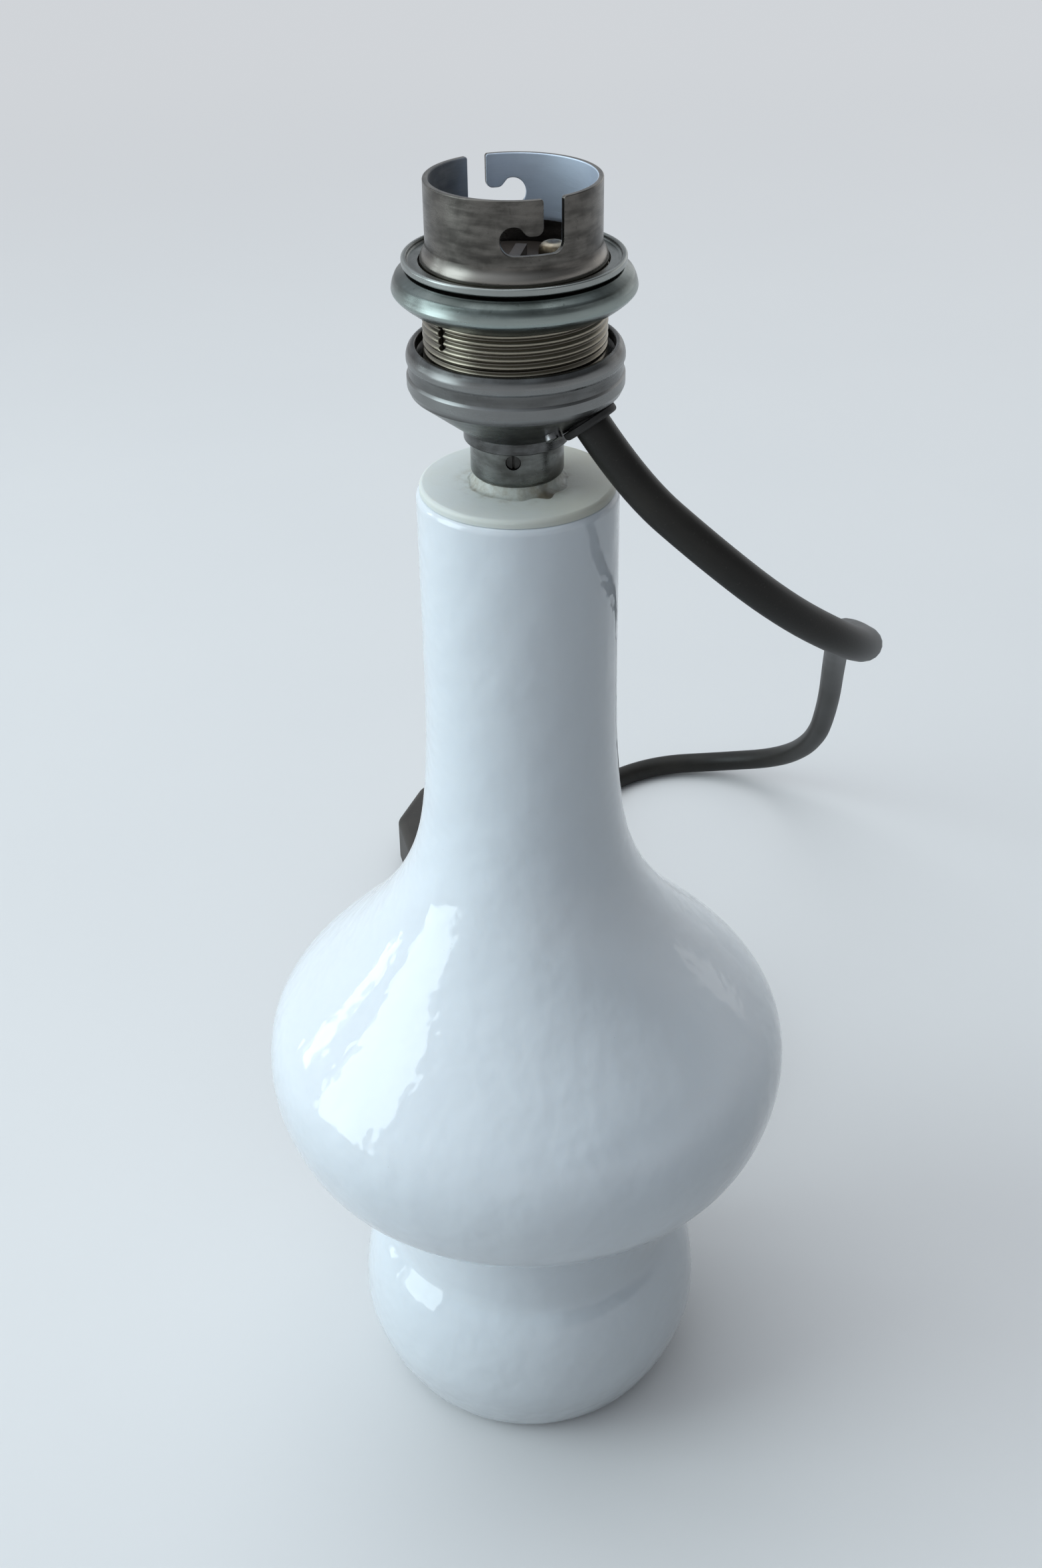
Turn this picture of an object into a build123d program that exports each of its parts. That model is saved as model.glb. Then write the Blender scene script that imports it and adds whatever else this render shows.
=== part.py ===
"""Lamp base: a hollow opal-glass body with a bayonet lampholder, its cord and its plug.

Millimetres, +Z up. The origin is on the surface that the lamp stands on, under the
middle of the glass. Azimuths are in degrees, seen from above, from +X towards +Y.
The holder is a stack on one threaded tube, so its heights are a chain that starts at
the rim of the glass.
"""

import os
from math import cos, hypot, pi, radians, sin, tan

from build123d import *

os.makedirs("parts", exist_ok=True)

# Glass body
foot_radius = 31.2
foot_height = 16.8
waist_radius = 25.5
waist_height = 43.0
belly_radius = 45.0
belly_height = 73.3
neck_radius = 15.0
neck_height = 150.0
rim_height = 179.3
rim_rounding = 1.1
glass_wall = 3.0
rest_ring_outer = 22.8
rest_ring_inner = 19.5
punt_height = 1.8

# Shares of the way, in radius and in height, from one waypoint of the glass to the next
foot_shares = ((0.62, 0.32), (0.86, 0.62))
waist_shares = ((0.20, 0.35), (0.52, 0.62), (0.84, 0.82))
belly_shares = ((0.07, 0.14), (0.28, 0.28), (0.55, 0.42), (0.80, 0.56), (0.95, 0.77))
shoulder_shares = (
    (0.037, 0.081), (0.147, 0.151), (0.443, 0.274), (0.777, 0.442), (0.908, 0.561), (0.977, 0.726),
)

# Stopper in the neck
stopper_flange_radius = 14.45
stopper_flange = 1.2
stopper_edge_rounding = 0.6
stopper_plug_length = 16.0
stopper_plug_taper = 0.2
stopper_clearance = 0.2

# Threaded tube with its nut and washer
tube_radius = 4.95
tube_bore = 3.6
tube_clearance = 0.1
tube_top_stickout = 0.4
tube_end_stickout = 1.6
washer_radius = 9.0
washer_thickness = 1.2
nut_across_flats = 14.0
nut_height = 4.0

# Glue and ferrule
glue_radius = 7.6
glue_height = 1.4
ferrule_radius = 6.8
ferrule_length = 5.4
ferrule_boss_radius = 6.25
ferrule_boss_length = 1.9
ferrule_edge = 0.3
grub_azimuth = -95.0
grub_radius = 1.0
grub_clearance = 0.1
grub_recess = 0.35
grub_height_share = 0.74

# Cap of the holder
collar_radius = 7.7
collar_wall = 1.4
collar_length = 1.8
cone_foot_radius = 8.1
cone_foot_rise = 0.2
cone_top_radius = 15.1
cone_height = 5.5
cone_wall = 1.84
cap_radius = 15.5
cap_lip = 0.7
skirt_height = 6.75
ledge_depth = 5.45
ledge_width = 0.75
mouth_depth = 1.45
cap_floor = 1.4
cap_nut_radius = 6.6
cap_nut_height = 2.4
cap_nut_slot_width = 1.6
cap_nut_slot_depth = 0.9

# Skirt of the cap: shares of the lip's width, inwards from cap_radius, and of skirt_height
skirt_shares = (
    (0.0, 0.133), (0.0, 0.341), (0.357, 0.40), (0.357, 0.726), (0.0, 0.815), (0.0, 0.874), (1.0, 1.0),
)

# Cord exit in the cap
exit_azimuth = -30.0
exit_slope_share = 0.5
bush_flange_radius = 4.2
bush_flange = 1.1
bush_wall = 0.45
bush_clearance = 0.1
clamp_azimuth = -62.0
clamp_slope_share = 0.35
clamp_head_radius = 1.2
clamp_head_height = 0.8
clamp_screw_radius = 0.8
clamp_slot = 0.35
clamp_plate_length = 3.0
clamp_plate_width = 4.4
clamp_plate_thickness = 1.0
clamp_plate_gap = 0.3

# Shell: threaded sleeve below, slotted barrel above
sleeve_radius = 13.0
sleeve_wall = 0.8
sleeve_clearance = 0.05
sleeve_length = 17.4
flare_length = 2.2
barrel_radius = 12.2
barrel_length = 8.64
barrel_edge = 0.25
slit_azimuth = -142.0
slit_width = 1.1
slit_length = 6.9
slit_rise = 7.0

# Bayonet slots in the barrel
slot_azimuth = -64.0
slot_width = 3.0
slot_rise = 1.4
slot_arm_height = 2.5
slot_turn = 26.0
slot_notch_radius = 1.9

# Shade rings on the sleeve
ring_clearance = 0.2
ring_gap = 0.3
lower_ring_rise = 11.2
lower_ring_radius = 17.15
lower_ring_height = 4.95
lower_ring_foot_radius = 14.6
upper_ring_foot_radius = 14.2
upper_ring_lip_radius = 15.55
upper_ring_lip_wall = 0.75
upper_ring_lip_height = 0.65
upper_ring_flare = 0.7
upper_ring_dish = 0.6

# Outside of the lower ring: shares of the way out from the foot to the rim, and of the height
lower_ring_shares = (
    (0.20, 0.06), (0.51, 0.18), (0.78, 0.30), (1.0, 0.43), (0.90, 0.65), (0.75, 0.83), (0.31, 0.97),
    (0.24, 1.0),
)

# Moulded insert, its plungers, springs and terminals
insert_radius = 12.0
insert_height = 12.0
insert_rise = 3.9
insert_edge = 0.6
insert_rib_height = 1.5
insert_rib_width = 1.6
insert_ring_width = 1.6
insert_ring_height = 1.3
plunger_azimuth = -11.0
plunger_offset = 5.5
plunger_tip_radius = 2.1
plunger_tip_length = 5.4
plunger_tip_rounding = 1.2
plunger_flange_radius = 2.9
plunger_flange = 1.2
plunger_tail_radius = 1.2
plunger_tail_length = 3.1
plunger_clearance = 0.15
plunger_lip = 1.5
plunger_stop_gap = 0.2
spring_wire = 0.4
spring_radius = 2.3
spring_turns = 5
terminal_length = 6.0
terminal_width = 6.0
terminal_height = 3.0
terminal_spigot = 0.7
terminal_screw_radius = 1.4
terminal_screw_length = 1.2

# Cord
cord_diameter = 5.4
core_radius = 0.8
core_offset = 1.15
core_lead = 2.2
core_bend = 1.3
cord_start_depth = 1.9

# Coil behind the lamp: turns lie in two layers, each half turn an arc of its own
coil_x = 1.0
coil_y = 80.0
coil_radius = 41.5
coil_gap = 0.5
coil_half_turns = 6
coil_floor_gap = 0.6
coil_climb_inset = 1.2
coil_leave_angle = 20.0
tie_width = 4.0
tie_thickness = 0.5
tie_side_gap = 0.5
tie_gap = 0.1

# Plug
plug_length = 34.0
plug_width = 35.3
plug_thickness = 13.7
plug_neck_width = 15.0
plug_shoulder_share = 0.45
plug_corner_rounding = 4.0
plug_edge_rounding = 2.0
relief_length = 20.0
relief_radius = 5.2
relief_lip = 0.8
pin_radius = 2.0
pin_length = 19.0
pin_spacing = 18.6
pin_rounding = 0.9
tail_length = 22.0

# One overrun serves every cut
overrun = 1.0


def along(start, end, shares):
    """Points from start to end, with those of a table of shares between them."""
    between = [
        (start[0] + across * (end[0] - start[0]), start[1] + up * (end[1] - start[1]))
        for across, up in shares
    ]
    return [start, *between, end]


def turned(outline, mode=Mode.ADD):
    """Turn a closed outline of (radius, height) points about the upright axis."""
    with BuildSketch(Plane.XZ) as section:
        with BuildLine():
            Polyline(*outline, close=True)
        make_face()
    revolve(section.sketch, axis=Axis.Z, mode=mode)


def radial_plane(azimuth, height):
    """A plane through the axis whose normal points outwards; its x axis is up."""
    outward = (cos(radians(azimuth)), sin(radians(azimuth)), 0)
    return Plane(origin=(0, 0, height), x_dir=(0, 0, 1), z_dir=outward)


# Glass body: one side line through foot, waist, belly and neck, and the same line with
# its radii less the wall for the hollow
neck_bore = neck_radius - glass_wall
hollow_floor = punt_height + glass_wall
upright = (0, 1)


def glass_side(inset, floor):
    """The side of the glass from its floor to the foot of the neck."""
    rest = (rest_ring_outer - inset, floor)
    foot = (foot_radius - inset, foot_height)
    waist = (waist_radius - inset, waist_height)
    belly = (belly_radius - inset, belly_height)
    neck = (neck_radius - inset, neck_height)
    Spline(*along(rest, foot, foot_shares), tangents=((1, 0), upright))
    Spline(*along(foot, waist, waist_shares), tangents=(upright, upright))
    Spline(*along(waist, belly, belly_shares), tangents=(upright, upright))
    Spline(*along(belly, neck, shoulder_shares), tangents=(upright, upright))


with BuildPart() as glass_body:
    with BuildSketch(Plane.XZ):
        with BuildLine():
            punt = TangentArc((0, punt_height), (rest_ring_inner, 0), tangent=(1, 0))
            Line(punt @ 1, (rest_ring_outer, 0))
            glass_side(0, 0)
            neck_side = Line((neck_radius, neck_height), (neck_radius, rim_height - rim_rounding))
            rim_corner = JernArc(neck_side @ 1, upright, rim_rounding, 90)
            Polyline(rim_corner @ 1, (0, rim_height), (0, punt_height))
        make_face()
    revolve(axis=Axis.Z)
    with BuildSketch(Plane.XZ):
        with BuildLine():
            Line((0, hollow_floor), (rest_ring_outer - glass_wall, hollow_floor))
            glass_side(glass_wall, hollow_floor)
            Polyline(
                (neck_bore, neck_height), (neck_bore, rim_height + overrun), (0, rim_height + overrun),
                (0, hollow_floor),
            )
        make_face()
    revolve(axis=Axis.Z, mode=Mode.SUBTRACT)

# Stopper: a flange on the rim and a plug in the neck
stopper_top = rim_height + stopper_flange
stopper_bottom = rim_height - stopper_plug_length
tube_hole = tube_radius + tube_clearance
plug_top_radius = neck_bore - stopper_clearance

with BuildPart() as neck_stopper:
    turned([
        (tube_hole, stopper_bottom),
        (plug_top_radius - stopper_plug_taper, stopper_bottom),
        (plug_top_radius, rim_height),
        (stopper_flange_radius, rim_height),
        (stopper_flange_radius, stopper_top),
        (tube_hole, stopper_top),
    ])
    top_edges = neck_stopper.edges().group_by(Axis.Z)[-1]
    fillet(top_edges.sort_by(SortBy.RADIUS)[-1], radius=stopper_edge_rounding)

# Washer and nut that pull the tube down from inside the neck
washer_bottom = stopper_bottom - washer_thickness
nut_bottom = washer_bottom - nut_height

with BuildPart() as tube_washer:
    turned([
        (tube_hole, washer_bottom), (washer_radius, washer_bottom),
        (washer_radius, stopper_bottom), (tube_hole, stopper_bottom),
    ])

with BuildPart() as tube_nut:
    with BuildSketch(Plane.XY.offset(nut_bottom)):
        RegularPolygon(nut_across_flats / 2, 6, major_radius=False)
        Circle(tube_hole, mode=Mode.SUBTRACT)
    extrude(amount=nut_height)

# Heights of the stack above the stopper
ferrule_bottom = stopper_top + glue_height
ferrule_top = ferrule_bottom + ferrule_length
cone_foot = ferrule_top + collar_length + cone_foot_rise
floor_top = cone_foot + cap_floor
cone_top = cone_foot + cone_height
cap_top = cone_top + skirt_height
ledge_height = cap_top - ledge_depth
tube_top = floor_top + cap_nut_height + tube_top_stickout

with BuildPart() as threaded_tube:
    turned([
        (tube_bore, nut_bottom - tube_end_stickout), (tube_radius, nut_bottom - tube_end_stickout),
        (tube_radius, tube_top), (tube_bore, tube_top),
    ])

# Glue: a low bead that fills the corner between stopper and ferrule
with BuildPart() as glue_bead:
    with BuildSketch(Plane.XZ):
        with BuildLine():
            Polyline(
                (ferrule_radius, ferrule_bottom), (tube_hole, ferrule_bottom), (tube_hole, stopper_top),
                (glue_radius, stopper_top),
            )
            TangentArc((glue_radius, stopper_top), (ferrule_radius, ferrule_bottom), tangent=upright)
        make_face()
    revolve(axis=Axis.Z)

# Ferrule: a plain collar with a boss that centres the cap, and a grub screw in its side
boss_top = ferrule_top + ferrule_boss_length
grub_height = ferrule_bottom + grub_height_share * ferrule_length

with BuildPart() as ferrule:
    turned([
        (tube_hole, ferrule_bottom),
        (ferrule_radius - ferrule_edge, ferrule_bottom),
        (ferrule_radius, ferrule_bottom + ferrule_edge),
        (ferrule_radius, ferrule_top - ferrule_edge),
        (ferrule_radius - ferrule_edge, ferrule_top),
        (ferrule_boss_radius, ferrule_top),
        (ferrule_boss_radius, boss_top),
        (tube_hole, boss_top),
    ])
    with BuildSketch(radial_plane(grub_azimuth, grub_height)):
        Circle(grub_radius + grub_clearance)
    extrude(amount=ferrule_radius + overrun, mode=Mode.SUBTRACT)

grub_length = ferrule_radius - grub_recess - tube_radius

with BuildPart() as ferrule_grub_screw:
    with BuildSketch(radial_plane(grub_azimuth, grub_height).offset(tube_radius)):
        Circle(grub_radius)
    extrude(amount=grub_length)
    with BuildSketch(radial_plane(grub_azimuth, grub_height).offset(tube_radius + grub_length)):
        Rectangle(grub_radius * 2, grub_radius / 3)
    extrude(amount=-grub_length / 3, mode=Mode.SUBTRACT)

# Cap of the holder. Its cone carries the cord's exit, so the cone's slope and normal
# are worked out once and serve the hole, the bush, the screw and the clamp.
slope_length = hypot(cone_top_radius - cone_foot_radius, cone_height)
slope_out = (cone_top_radius - cone_foot_radius) / slope_length
slope_up = cone_height / slope_length


def cone_plane(azimuth, slope_share, depth=0.0):
    """A plane on the cone, its normal outwards and down; depth moves it into the wall."""
    radius = cone_foot_radius + slope_share * slope_length * slope_out - depth * slope_up
    height = cone_foot + slope_share * slope_length * slope_up + depth * slope_out
    across, along_y = cos(radians(azimuth)), sin(radians(azimuth))
    return Plane(
        origin=(radius * across, radius * along_y, height),
        x_dir=(slope_out * across, slope_out * along_y, slope_up),
        z_dir=(slope_up * across, slope_up * along_y, -slope_out),
    )


inner_foot_radius = (
    cone_foot_radius - cone_wall * slope_up + (cap_floor - cone_wall * slope_out) * slope_out / slope_up
)
ledge_inner = sleeve_radius + sleeve_clearance - ledge_width
inner_cone_top = floor_top + (ledge_inner - inner_foot_radius) * slope_up / slope_out
cap_mouth = cap_radius - cap_lip - cap_lip
cap_bore = sleeve_radius + sleeve_clearance
skirt_outline = [
    (cap_radius - inwards * cap_lip, cone_top + up * skirt_height) for inwards, up in skirt_shares
]
cap_outside = [
    (collar_radius, ferrule_top),
    (collar_radius, ferrule_top + collar_length),
    (cone_foot_radius, cone_foot),
    (cone_top_radius, cone_top),
    *skirt_outline,
]
exit_hole_radius = cord_diameter / 2 + bush_clearance + bush_wall + bush_clearance

with BuildPart() as holder_cap:
    turned([
        (collar_radius - collar_wall, ferrule_top),
        *cap_outside,
        (cap_mouth, cap_top),
        (cap_mouth, cap_top - mouth_depth),
        (cap_bore, cap_top - mouth_depth - (cap_mouth - cap_bore)),
        (cap_bore, ledge_height),
        (ledge_inner, ledge_height),
        (ledge_inner, inner_cone_top),
        (inner_foot_radius, floor_top),
        (tube_hole, floor_top),
        (tube_hole, cone_foot),
        (collar_radius - collar_wall, cone_foot),
    ])
    with BuildSketch(cone_plane(exit_azimuth, exit_slope_share, -overrun)):
        Circle(exit_hole_radius)
    extrude(amount=-cone_wall - 2 * overrun, mode=Mode.SUBTRACT)
    with BuildSketch(cone_plane(clamp_azimuth, clamp_slope_share, -overrun)):
        Circle(clamp_screw_radius + bush_clearance)
    extrude(amount=-cone_wall - 2 * overrun, mode=Mode.SUBTRACT)

with BuildPart(mode=Mode.PRIVATE) as cap_envelope:
    turned([(0, ferrule_top), *cap_outside, (0, cap_top)])

# Ring nut that holds the cap down, slotted for a key
with BuildPart() as cap_nut:
    turned([
        (tube_hole, floor_top), (cap_nut_radius, floor_top),
        (cap_nut_radius, floor_top + cap_nut_height), (tube_hole, floor_top + cap_nut_height),
    ])
    with Locations((0, 0, floor_top + cap_nut_height)):
        Box(
            2 * (cap_nut_radius + overrun), cap_nut_slot_width, cap_nut_slot_depth,
            align=(Align.CENTER, Align.CENTER, Align.MAX), mode=Mode.SUBTRACT,
        )

# Bush: its flange is cut to the cone that it sits on
with BuildPart() as cord_bush:
    with BuildSketch(cone_plane(exit_azimuth, exit_slope_share, overrun)):
        Circle(bush_flange_radius)
    extrude(amount=bush_flange + overrun)
    add(cap_envelope.part, mode=Mode.SUBTRACT)
    with BuildSketch(cone_plane(exit_azimuth, exit_slope_share, cone_wall)):
        Circle(exit_hole_radius - bush_clearance)
    extrude(amount=cone_wall + bush_flange / 2)
    with BuildSketch(cone_plane(exit_azimuth, exit_slope_share, cone_wall + overrun)):
        Circle(exit_hole_radius - bush_clearance - bush_wall)
    extrude(amount=cone_wall + bush_flange + 2 * overrun, mode=Mode.SUBTRACT)

# Clamp screw through the cone, and the plate it draws up inside
with BuildPart() as clamp_screw:
    with BuildSketch(cone_plane(clamp_azimuth, clamp_slope_share)):
        Circle(clamp_head_radius)
    extrude(amount=clamp_head_height)
    add(cap_envelope.part, mode=Mode.SUBTRACT)
    with BuildSketch(cone_plane(clamp_azimuth, clamp_slope_share, -clamp_head_height)):
        Rectangle(2 * clamp_head_radius, clamp_slot)
    extrude(amount=-clamp_head_height / 2, mode=Mode.SUBTRACT)
    with BuildSketch(cone_plane(clamp_azimuth, clamp_slope_share, -clamp_head_height / 2)):
        Circle(clamp_screw_radius)
    extrude(amount=-clamp_head_height / 2 - cone_wall - clamp_plate_gap - clamp_plate_thickness)

with BuildPart() as cord_clamp:
    with BuildSketch(cone_plane(clamp_azimuth, clamp_slope_share, cone_wall + clamp_plate_gap)):
        RectangleRounded(clamp_plate_length, clamp_plate_width, clamp_plate_thickness / 2)
        Circle(clamp_screw_radius + bush_clearance, mode=Mode.SUBTRACT)
    extrude(amount=-clamp_plate_thickness)

# Shell: sleeve, flare and barrel in one wall, with two slits and two bayonet slots
sleeve_top = ledge_height + sleeve_length
barrel_bottom = sleeve_top + flare_length
barrel_top = barrel_bottom + barrel_length
slot_bottom = barrel_bottom + slot_rise
slit_centre = ledge_height + slit_rise + slit_length / 2

with BuildPart() as bayonet_shell:
    turned([
        (sleeve_radius - sleeve_wall, ledge_height),
        (sleeve_radius, ledge_height),
        (sleeve_radius, sleeve_top),
        (barrel_radius, barrel_bottom),
        (barrel_radius, barrel_top - barrel_edge),
        (barrel_radius - barrel_edge, barrel_top),
        (barrel_radius - sleeve_wall, barrel_top),
        (barrel_radius - sleeve_wall, barrel_bottom),
        (sleeve_radius - sleeve_wall, sleeve_top),
    ])
    for half_turn in (0, 180):
        notch_azimuth = slot_azimuth - slot_turn + half_turn
        with BuildSketch(radial_plane(slit_azimuth + half_turn, slit_centre)):
            SlotOverall(slit_length, slit_width)
        extrude(amount=sleeve_radius + overrun, mode=Mode.SUBTRACT)
        with BuildSketch(radial_plane(slot_azimuth + half_turn, slot_bottom + slot_width / 2)):
            Circle(slot_width / 2)
            Rectangle(barrel_length, slot_width, align=(Align.MIN, Align.CENTER))
        extrude(amount=barrel_radius + overrun, mode=Mode.SUBTRACT)
        with BuildSketch(radial_plane(notch_azimuth, slot_bottom + slot_notch_radius)):
            Circle(slot_notch_radius)
        extrude(amount=barrel_radius + overrun, mode=Mode.SUBTRACT)
        with Locations(Location((0, 0, slot_bottom), (0, 0, notch_azimuth))):
            Cylinder(
                barrel_radius + overrun, slot_arm_height, arc_size=slot_turn,
                align=(Align.CENTER, Align.CENTER, Align.MIN), mode=Mode.SUBTRACT,
            )

# Shade rings: two threaded rings, the thin dished one seated a gap above the broad one
ring_bore = sleeve_radius + ring_clearance
lower_ring_bottom = ledge_height + lower_ring_rise
lower_ring_top = lower_ring_bottom + lower_ring_height
lower_ring_outline = [
    (
        lower_ring_foot_radius + out * (lower_ring_radius - lower_ring_foot_radius),
        lower_ring_bottom + up * lower_ring_height,
    )
    for out, up in lower_ring_shares
]

with BuildPart() as lower_shade_ring:
    turned([
        (ring_bore, lower_ring_bottom),
        (lower_ring_foot_radius, lower_ring_bottom),
        *lower_ring_outline,
        (ring_bore, lower_ring_top),
    ])

upper_ring_bottom = lower_ring_top + ring_gap
lip_bottom = upper_ring_bottom + upper_ring_flare
upper_ring_top = lip_bottom + upper_ring_lip_height
dish_radius = upper_ring_lip_radius - upper_ring_lip_wall

with BuildPart() as upper_shade_ring:
    turned([
        (ring_bore, upper_ring_bottom),
        (upper_ring_foot_radius, upper_ring_bottom),
        (upper_ring_lip_radius, lip_bottom),
        (upper_ring_lip_radius, upper_ring_top),
        (dish_radius, upper_ring_top),
        (dish_radius, upper_ring_top - upper_ring_dish),
        (ring_bore, upper_ring_top - upper_ring_dish),
    ])

# Moulded insert with two stepped bores for the plungers and a rib between them
insert_bottom = ledge_height + insert_rise
insert_top = insert_bottom + insert_height
chamber_top = insert_top - plunger_lip

with BuildPart() as holder_insert:
    with Locations((0, 0, insert_bottom)):
        Cylinder(insert_radius, insert_height, align=(Align.CENTER, Align.CENTER, Align.MIN))
    fillet(holder_insert.edges().group_by(Axis.Z)[-1], radius=insert_edge)
    with BuildSketch(Plane.XY.offset(insert_bottom)):
        with PolarLocations(plunger_offset, 2, start_angle=plunger_azimuth):
            Circle(plunger_flange_radius + ring_clearance)
    extrude(amount=insert_height - plunger_lip, mode=Mode.SUBTRACT)
    with BuildSketch(Plane.XY.offset(insert_top)):
        with PolarLocations(plunger_offset, 2, start_angle=plunger_azimuth):
            Circle(plunger_tip_radius + plunger_clearance)
    extrude(amount=-plunger_lip - overrun, mode=Mode.SUBTRACT)
    with BuildSketch(Plane.XY.offset(insert_top)):
        Rectangle(insert_rib_width, plunger_offset * 2, rotation=plunger_azimuth)
    extrude(amount=insert_rib_height)

with BuildPart() as insert_ring:
    turned([
        (sleeve_radius - sleeve_wall - insert_ring_width, insert_bottom - insert_ring_height),
        (sleeve_radius - sleeve_wall, insert_bottom - insert_ring_height),
        (sleeve_radius - sleeve_wall, insert_bottom),
        (sleeve_radius - sleeve_wall - insert_ring_width, insert_bottom),
    ])

# Plungers and springs, one of each in either bore
flange_top = chamber_top - plunger_stop_gap
flange_bottom = flange_top - plunger_flange
spring_bottom = insert_bottom + terminal_spigot
spring_length = flange_bottom - spring_bottom


def place_of(half_turn):
    """The middle of one plunger bore, in plan."""
    azimuth = radians(plunger_azimuth + half_turn)
    return plunger_offset * cos(azimuth), plunger_offset * sin(azimuth)


def plunger(half_turn):
    """A turned contact: tail in the spring, flange under the lip, rounded tip above it."""
    with BuildPart() as piece:
        with BuildSketch(Plane.XY.offset(flange_bottom)):
            with Locations(place_of(half_turn)):
                Circle(plunger_tail_radius)
        extrude(amount=-plunger_tail_length)
        with BuildSketch(Plane.XY.offset(flange_bottom)):
            with Locations(place_of(half_turn)):
                Circle(plunger_flange_radius)
        extrude(amount=plunger_flange)
        with BuildSketch(Plane.XY.offset(flange_top)):
            with Locations(place_of(half_turn)):
                Circle(plunger_tip_radius)
        extrude(amount=plunger_tip_length)
        fillet(piece.edges().group_by(Axis.Z)[-1], radius=plunger_tip_rounding)
    return piece


def spring(half_turn):
    """A round-wire spring between the terminal's spigot and the plunger's flange."""
    across, along_y = place_of(half_turn)
    rise = spring_length - spring_wire
    foot = (across, along_y, spring_bottom + spring_wire / 2)
    with BuildPart() as piece:
        with BuildLine() as wire_path:
            Helix(rise / spring_turns, rise, spring_radius, center=foot)
        with BuildSketch(Plane(origin=wire_path.line @ 0, z_dir=wire_path.line % 0)):
            Circle(spring_wire / 2)
        sweep()
    return piece


def terminal(half_turn):
    """A brass block under one bore, with a spigot that carries the spring."""
    block_plane = Plane.XY.offset(insert_bottom)
    with BuildPart() as piece:
        with BuildSketch(block_plane):
            with Locations(Location((*place_of(half_turn), 0), (0, 0, plunger_azimuth))):
                Rectangle(terminal_length, terminal_width)
        extrude(amount=-terminal_height)
        with BuildSketch(block_plane):
            with Locations(place_of(half_turn)):
                Circle(spring_radius + spring_wire / 2)
        extrude(amount=terminal_spigot)
    return piece


contact_plunger_a = plunger(0)
contact_plunger_b = plunger(180)
plunger_spring_a = spring(0)
plunger_spring_b = spring(180)
terminal_block_a = terminal(0)
terminal_block_b = terminal(180)

with BuildPart() as terminal_screws:
    for half_turn in (0, 180):
        screw_plane = radial_plane(plunger_azimuth + half_turn, insert_bottom - terminal_height / 2)
        with BuildSketch(screw_plane.offset(plunger_offset + terminal_length / 2)):
            Circle(terminal_screw_radius)
        extrude(amount=terminal_screw_length)

# Cord. It leaves the cap square to the cone, arches over to the right, comes down
# behind and turns in along the surface to the coil. The route's points stay as chosen.
cord_radius = cord_diameter / 2
coil_step = cord_diameter + coil_gap
low_layer = cord_radius + coil_floor_gap
high_layer = low_layer + coil_step
coil_entry = Vector(coil_x + coil_radius, coil_y, low_layer)
coil_start = coil_entry + Vector(0, cord_diameter, 0)
exit_plane = cone_plane(exit_azimuth, exit_slope_share, cord_start_depth)
cord_start = exit_plane.origin
cord_route = [
    cord_start,
    cord_start + exit_plane.z_dir * 12.5,
    (27.0, -12.8, 174.5),
    (38.5, -11.5, 164.3),
    (50.3, -3.8, 154.2),
    (57.0, 14.0, 144.0),
    (60.5, 44.0, 129.5),
    (64.5, 78.0, 112.0),
    (70.0, 109.5, 92.5),
    (74.5, 136.0, 71.0),
    (77.5, 154.5, 49.5),
    (78.0, 170.0, 29.0),
    (72.5, 187.5, 12.5),
    (57.0, 199.0, 4.2),
    (37.5, 200.0, 2.7),
    (21.0, 189.5, 2.7),
    (14.0, 171.5, 2.7),
    (17.0, 152.0, 2.7),
    (24.5, 136.5, 2.8),
    (33.5, 121.0, 3.1),
    (42.5, 103.5, 3.3),
    coil_start,
]


def bend_radii(points):
    """For each corner, the largest arc that 0.45 of the shorter run beside it allows."""
    corners = [Vector(point) for point in points]
    radii = []
    for before, corner, after in zip(corners, corners[1:], corners[2:]):
        turn = (corner - before).get_angle(after - corner)
        shorter = min((corner - before).length, (after - corner).length)
        radii.append(0.45 * shorter / tan(radians(turn / 2)))
    return radii


cord_radii = bend_radii(cord_route)
print("cord bend radii:", [round(radius, 1) for radius in cord_radii])

with BuildPart() as cord:
    with BuildLine() as cord_path:
        FilletPolyline(*cord_route, radius=cord_radii)
    with BuildSketch(Plane(origin=cord_path.line @ 0, z_dir=cord_path.line % 0)):
        Circle(cord_radius)
    sweep()

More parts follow.
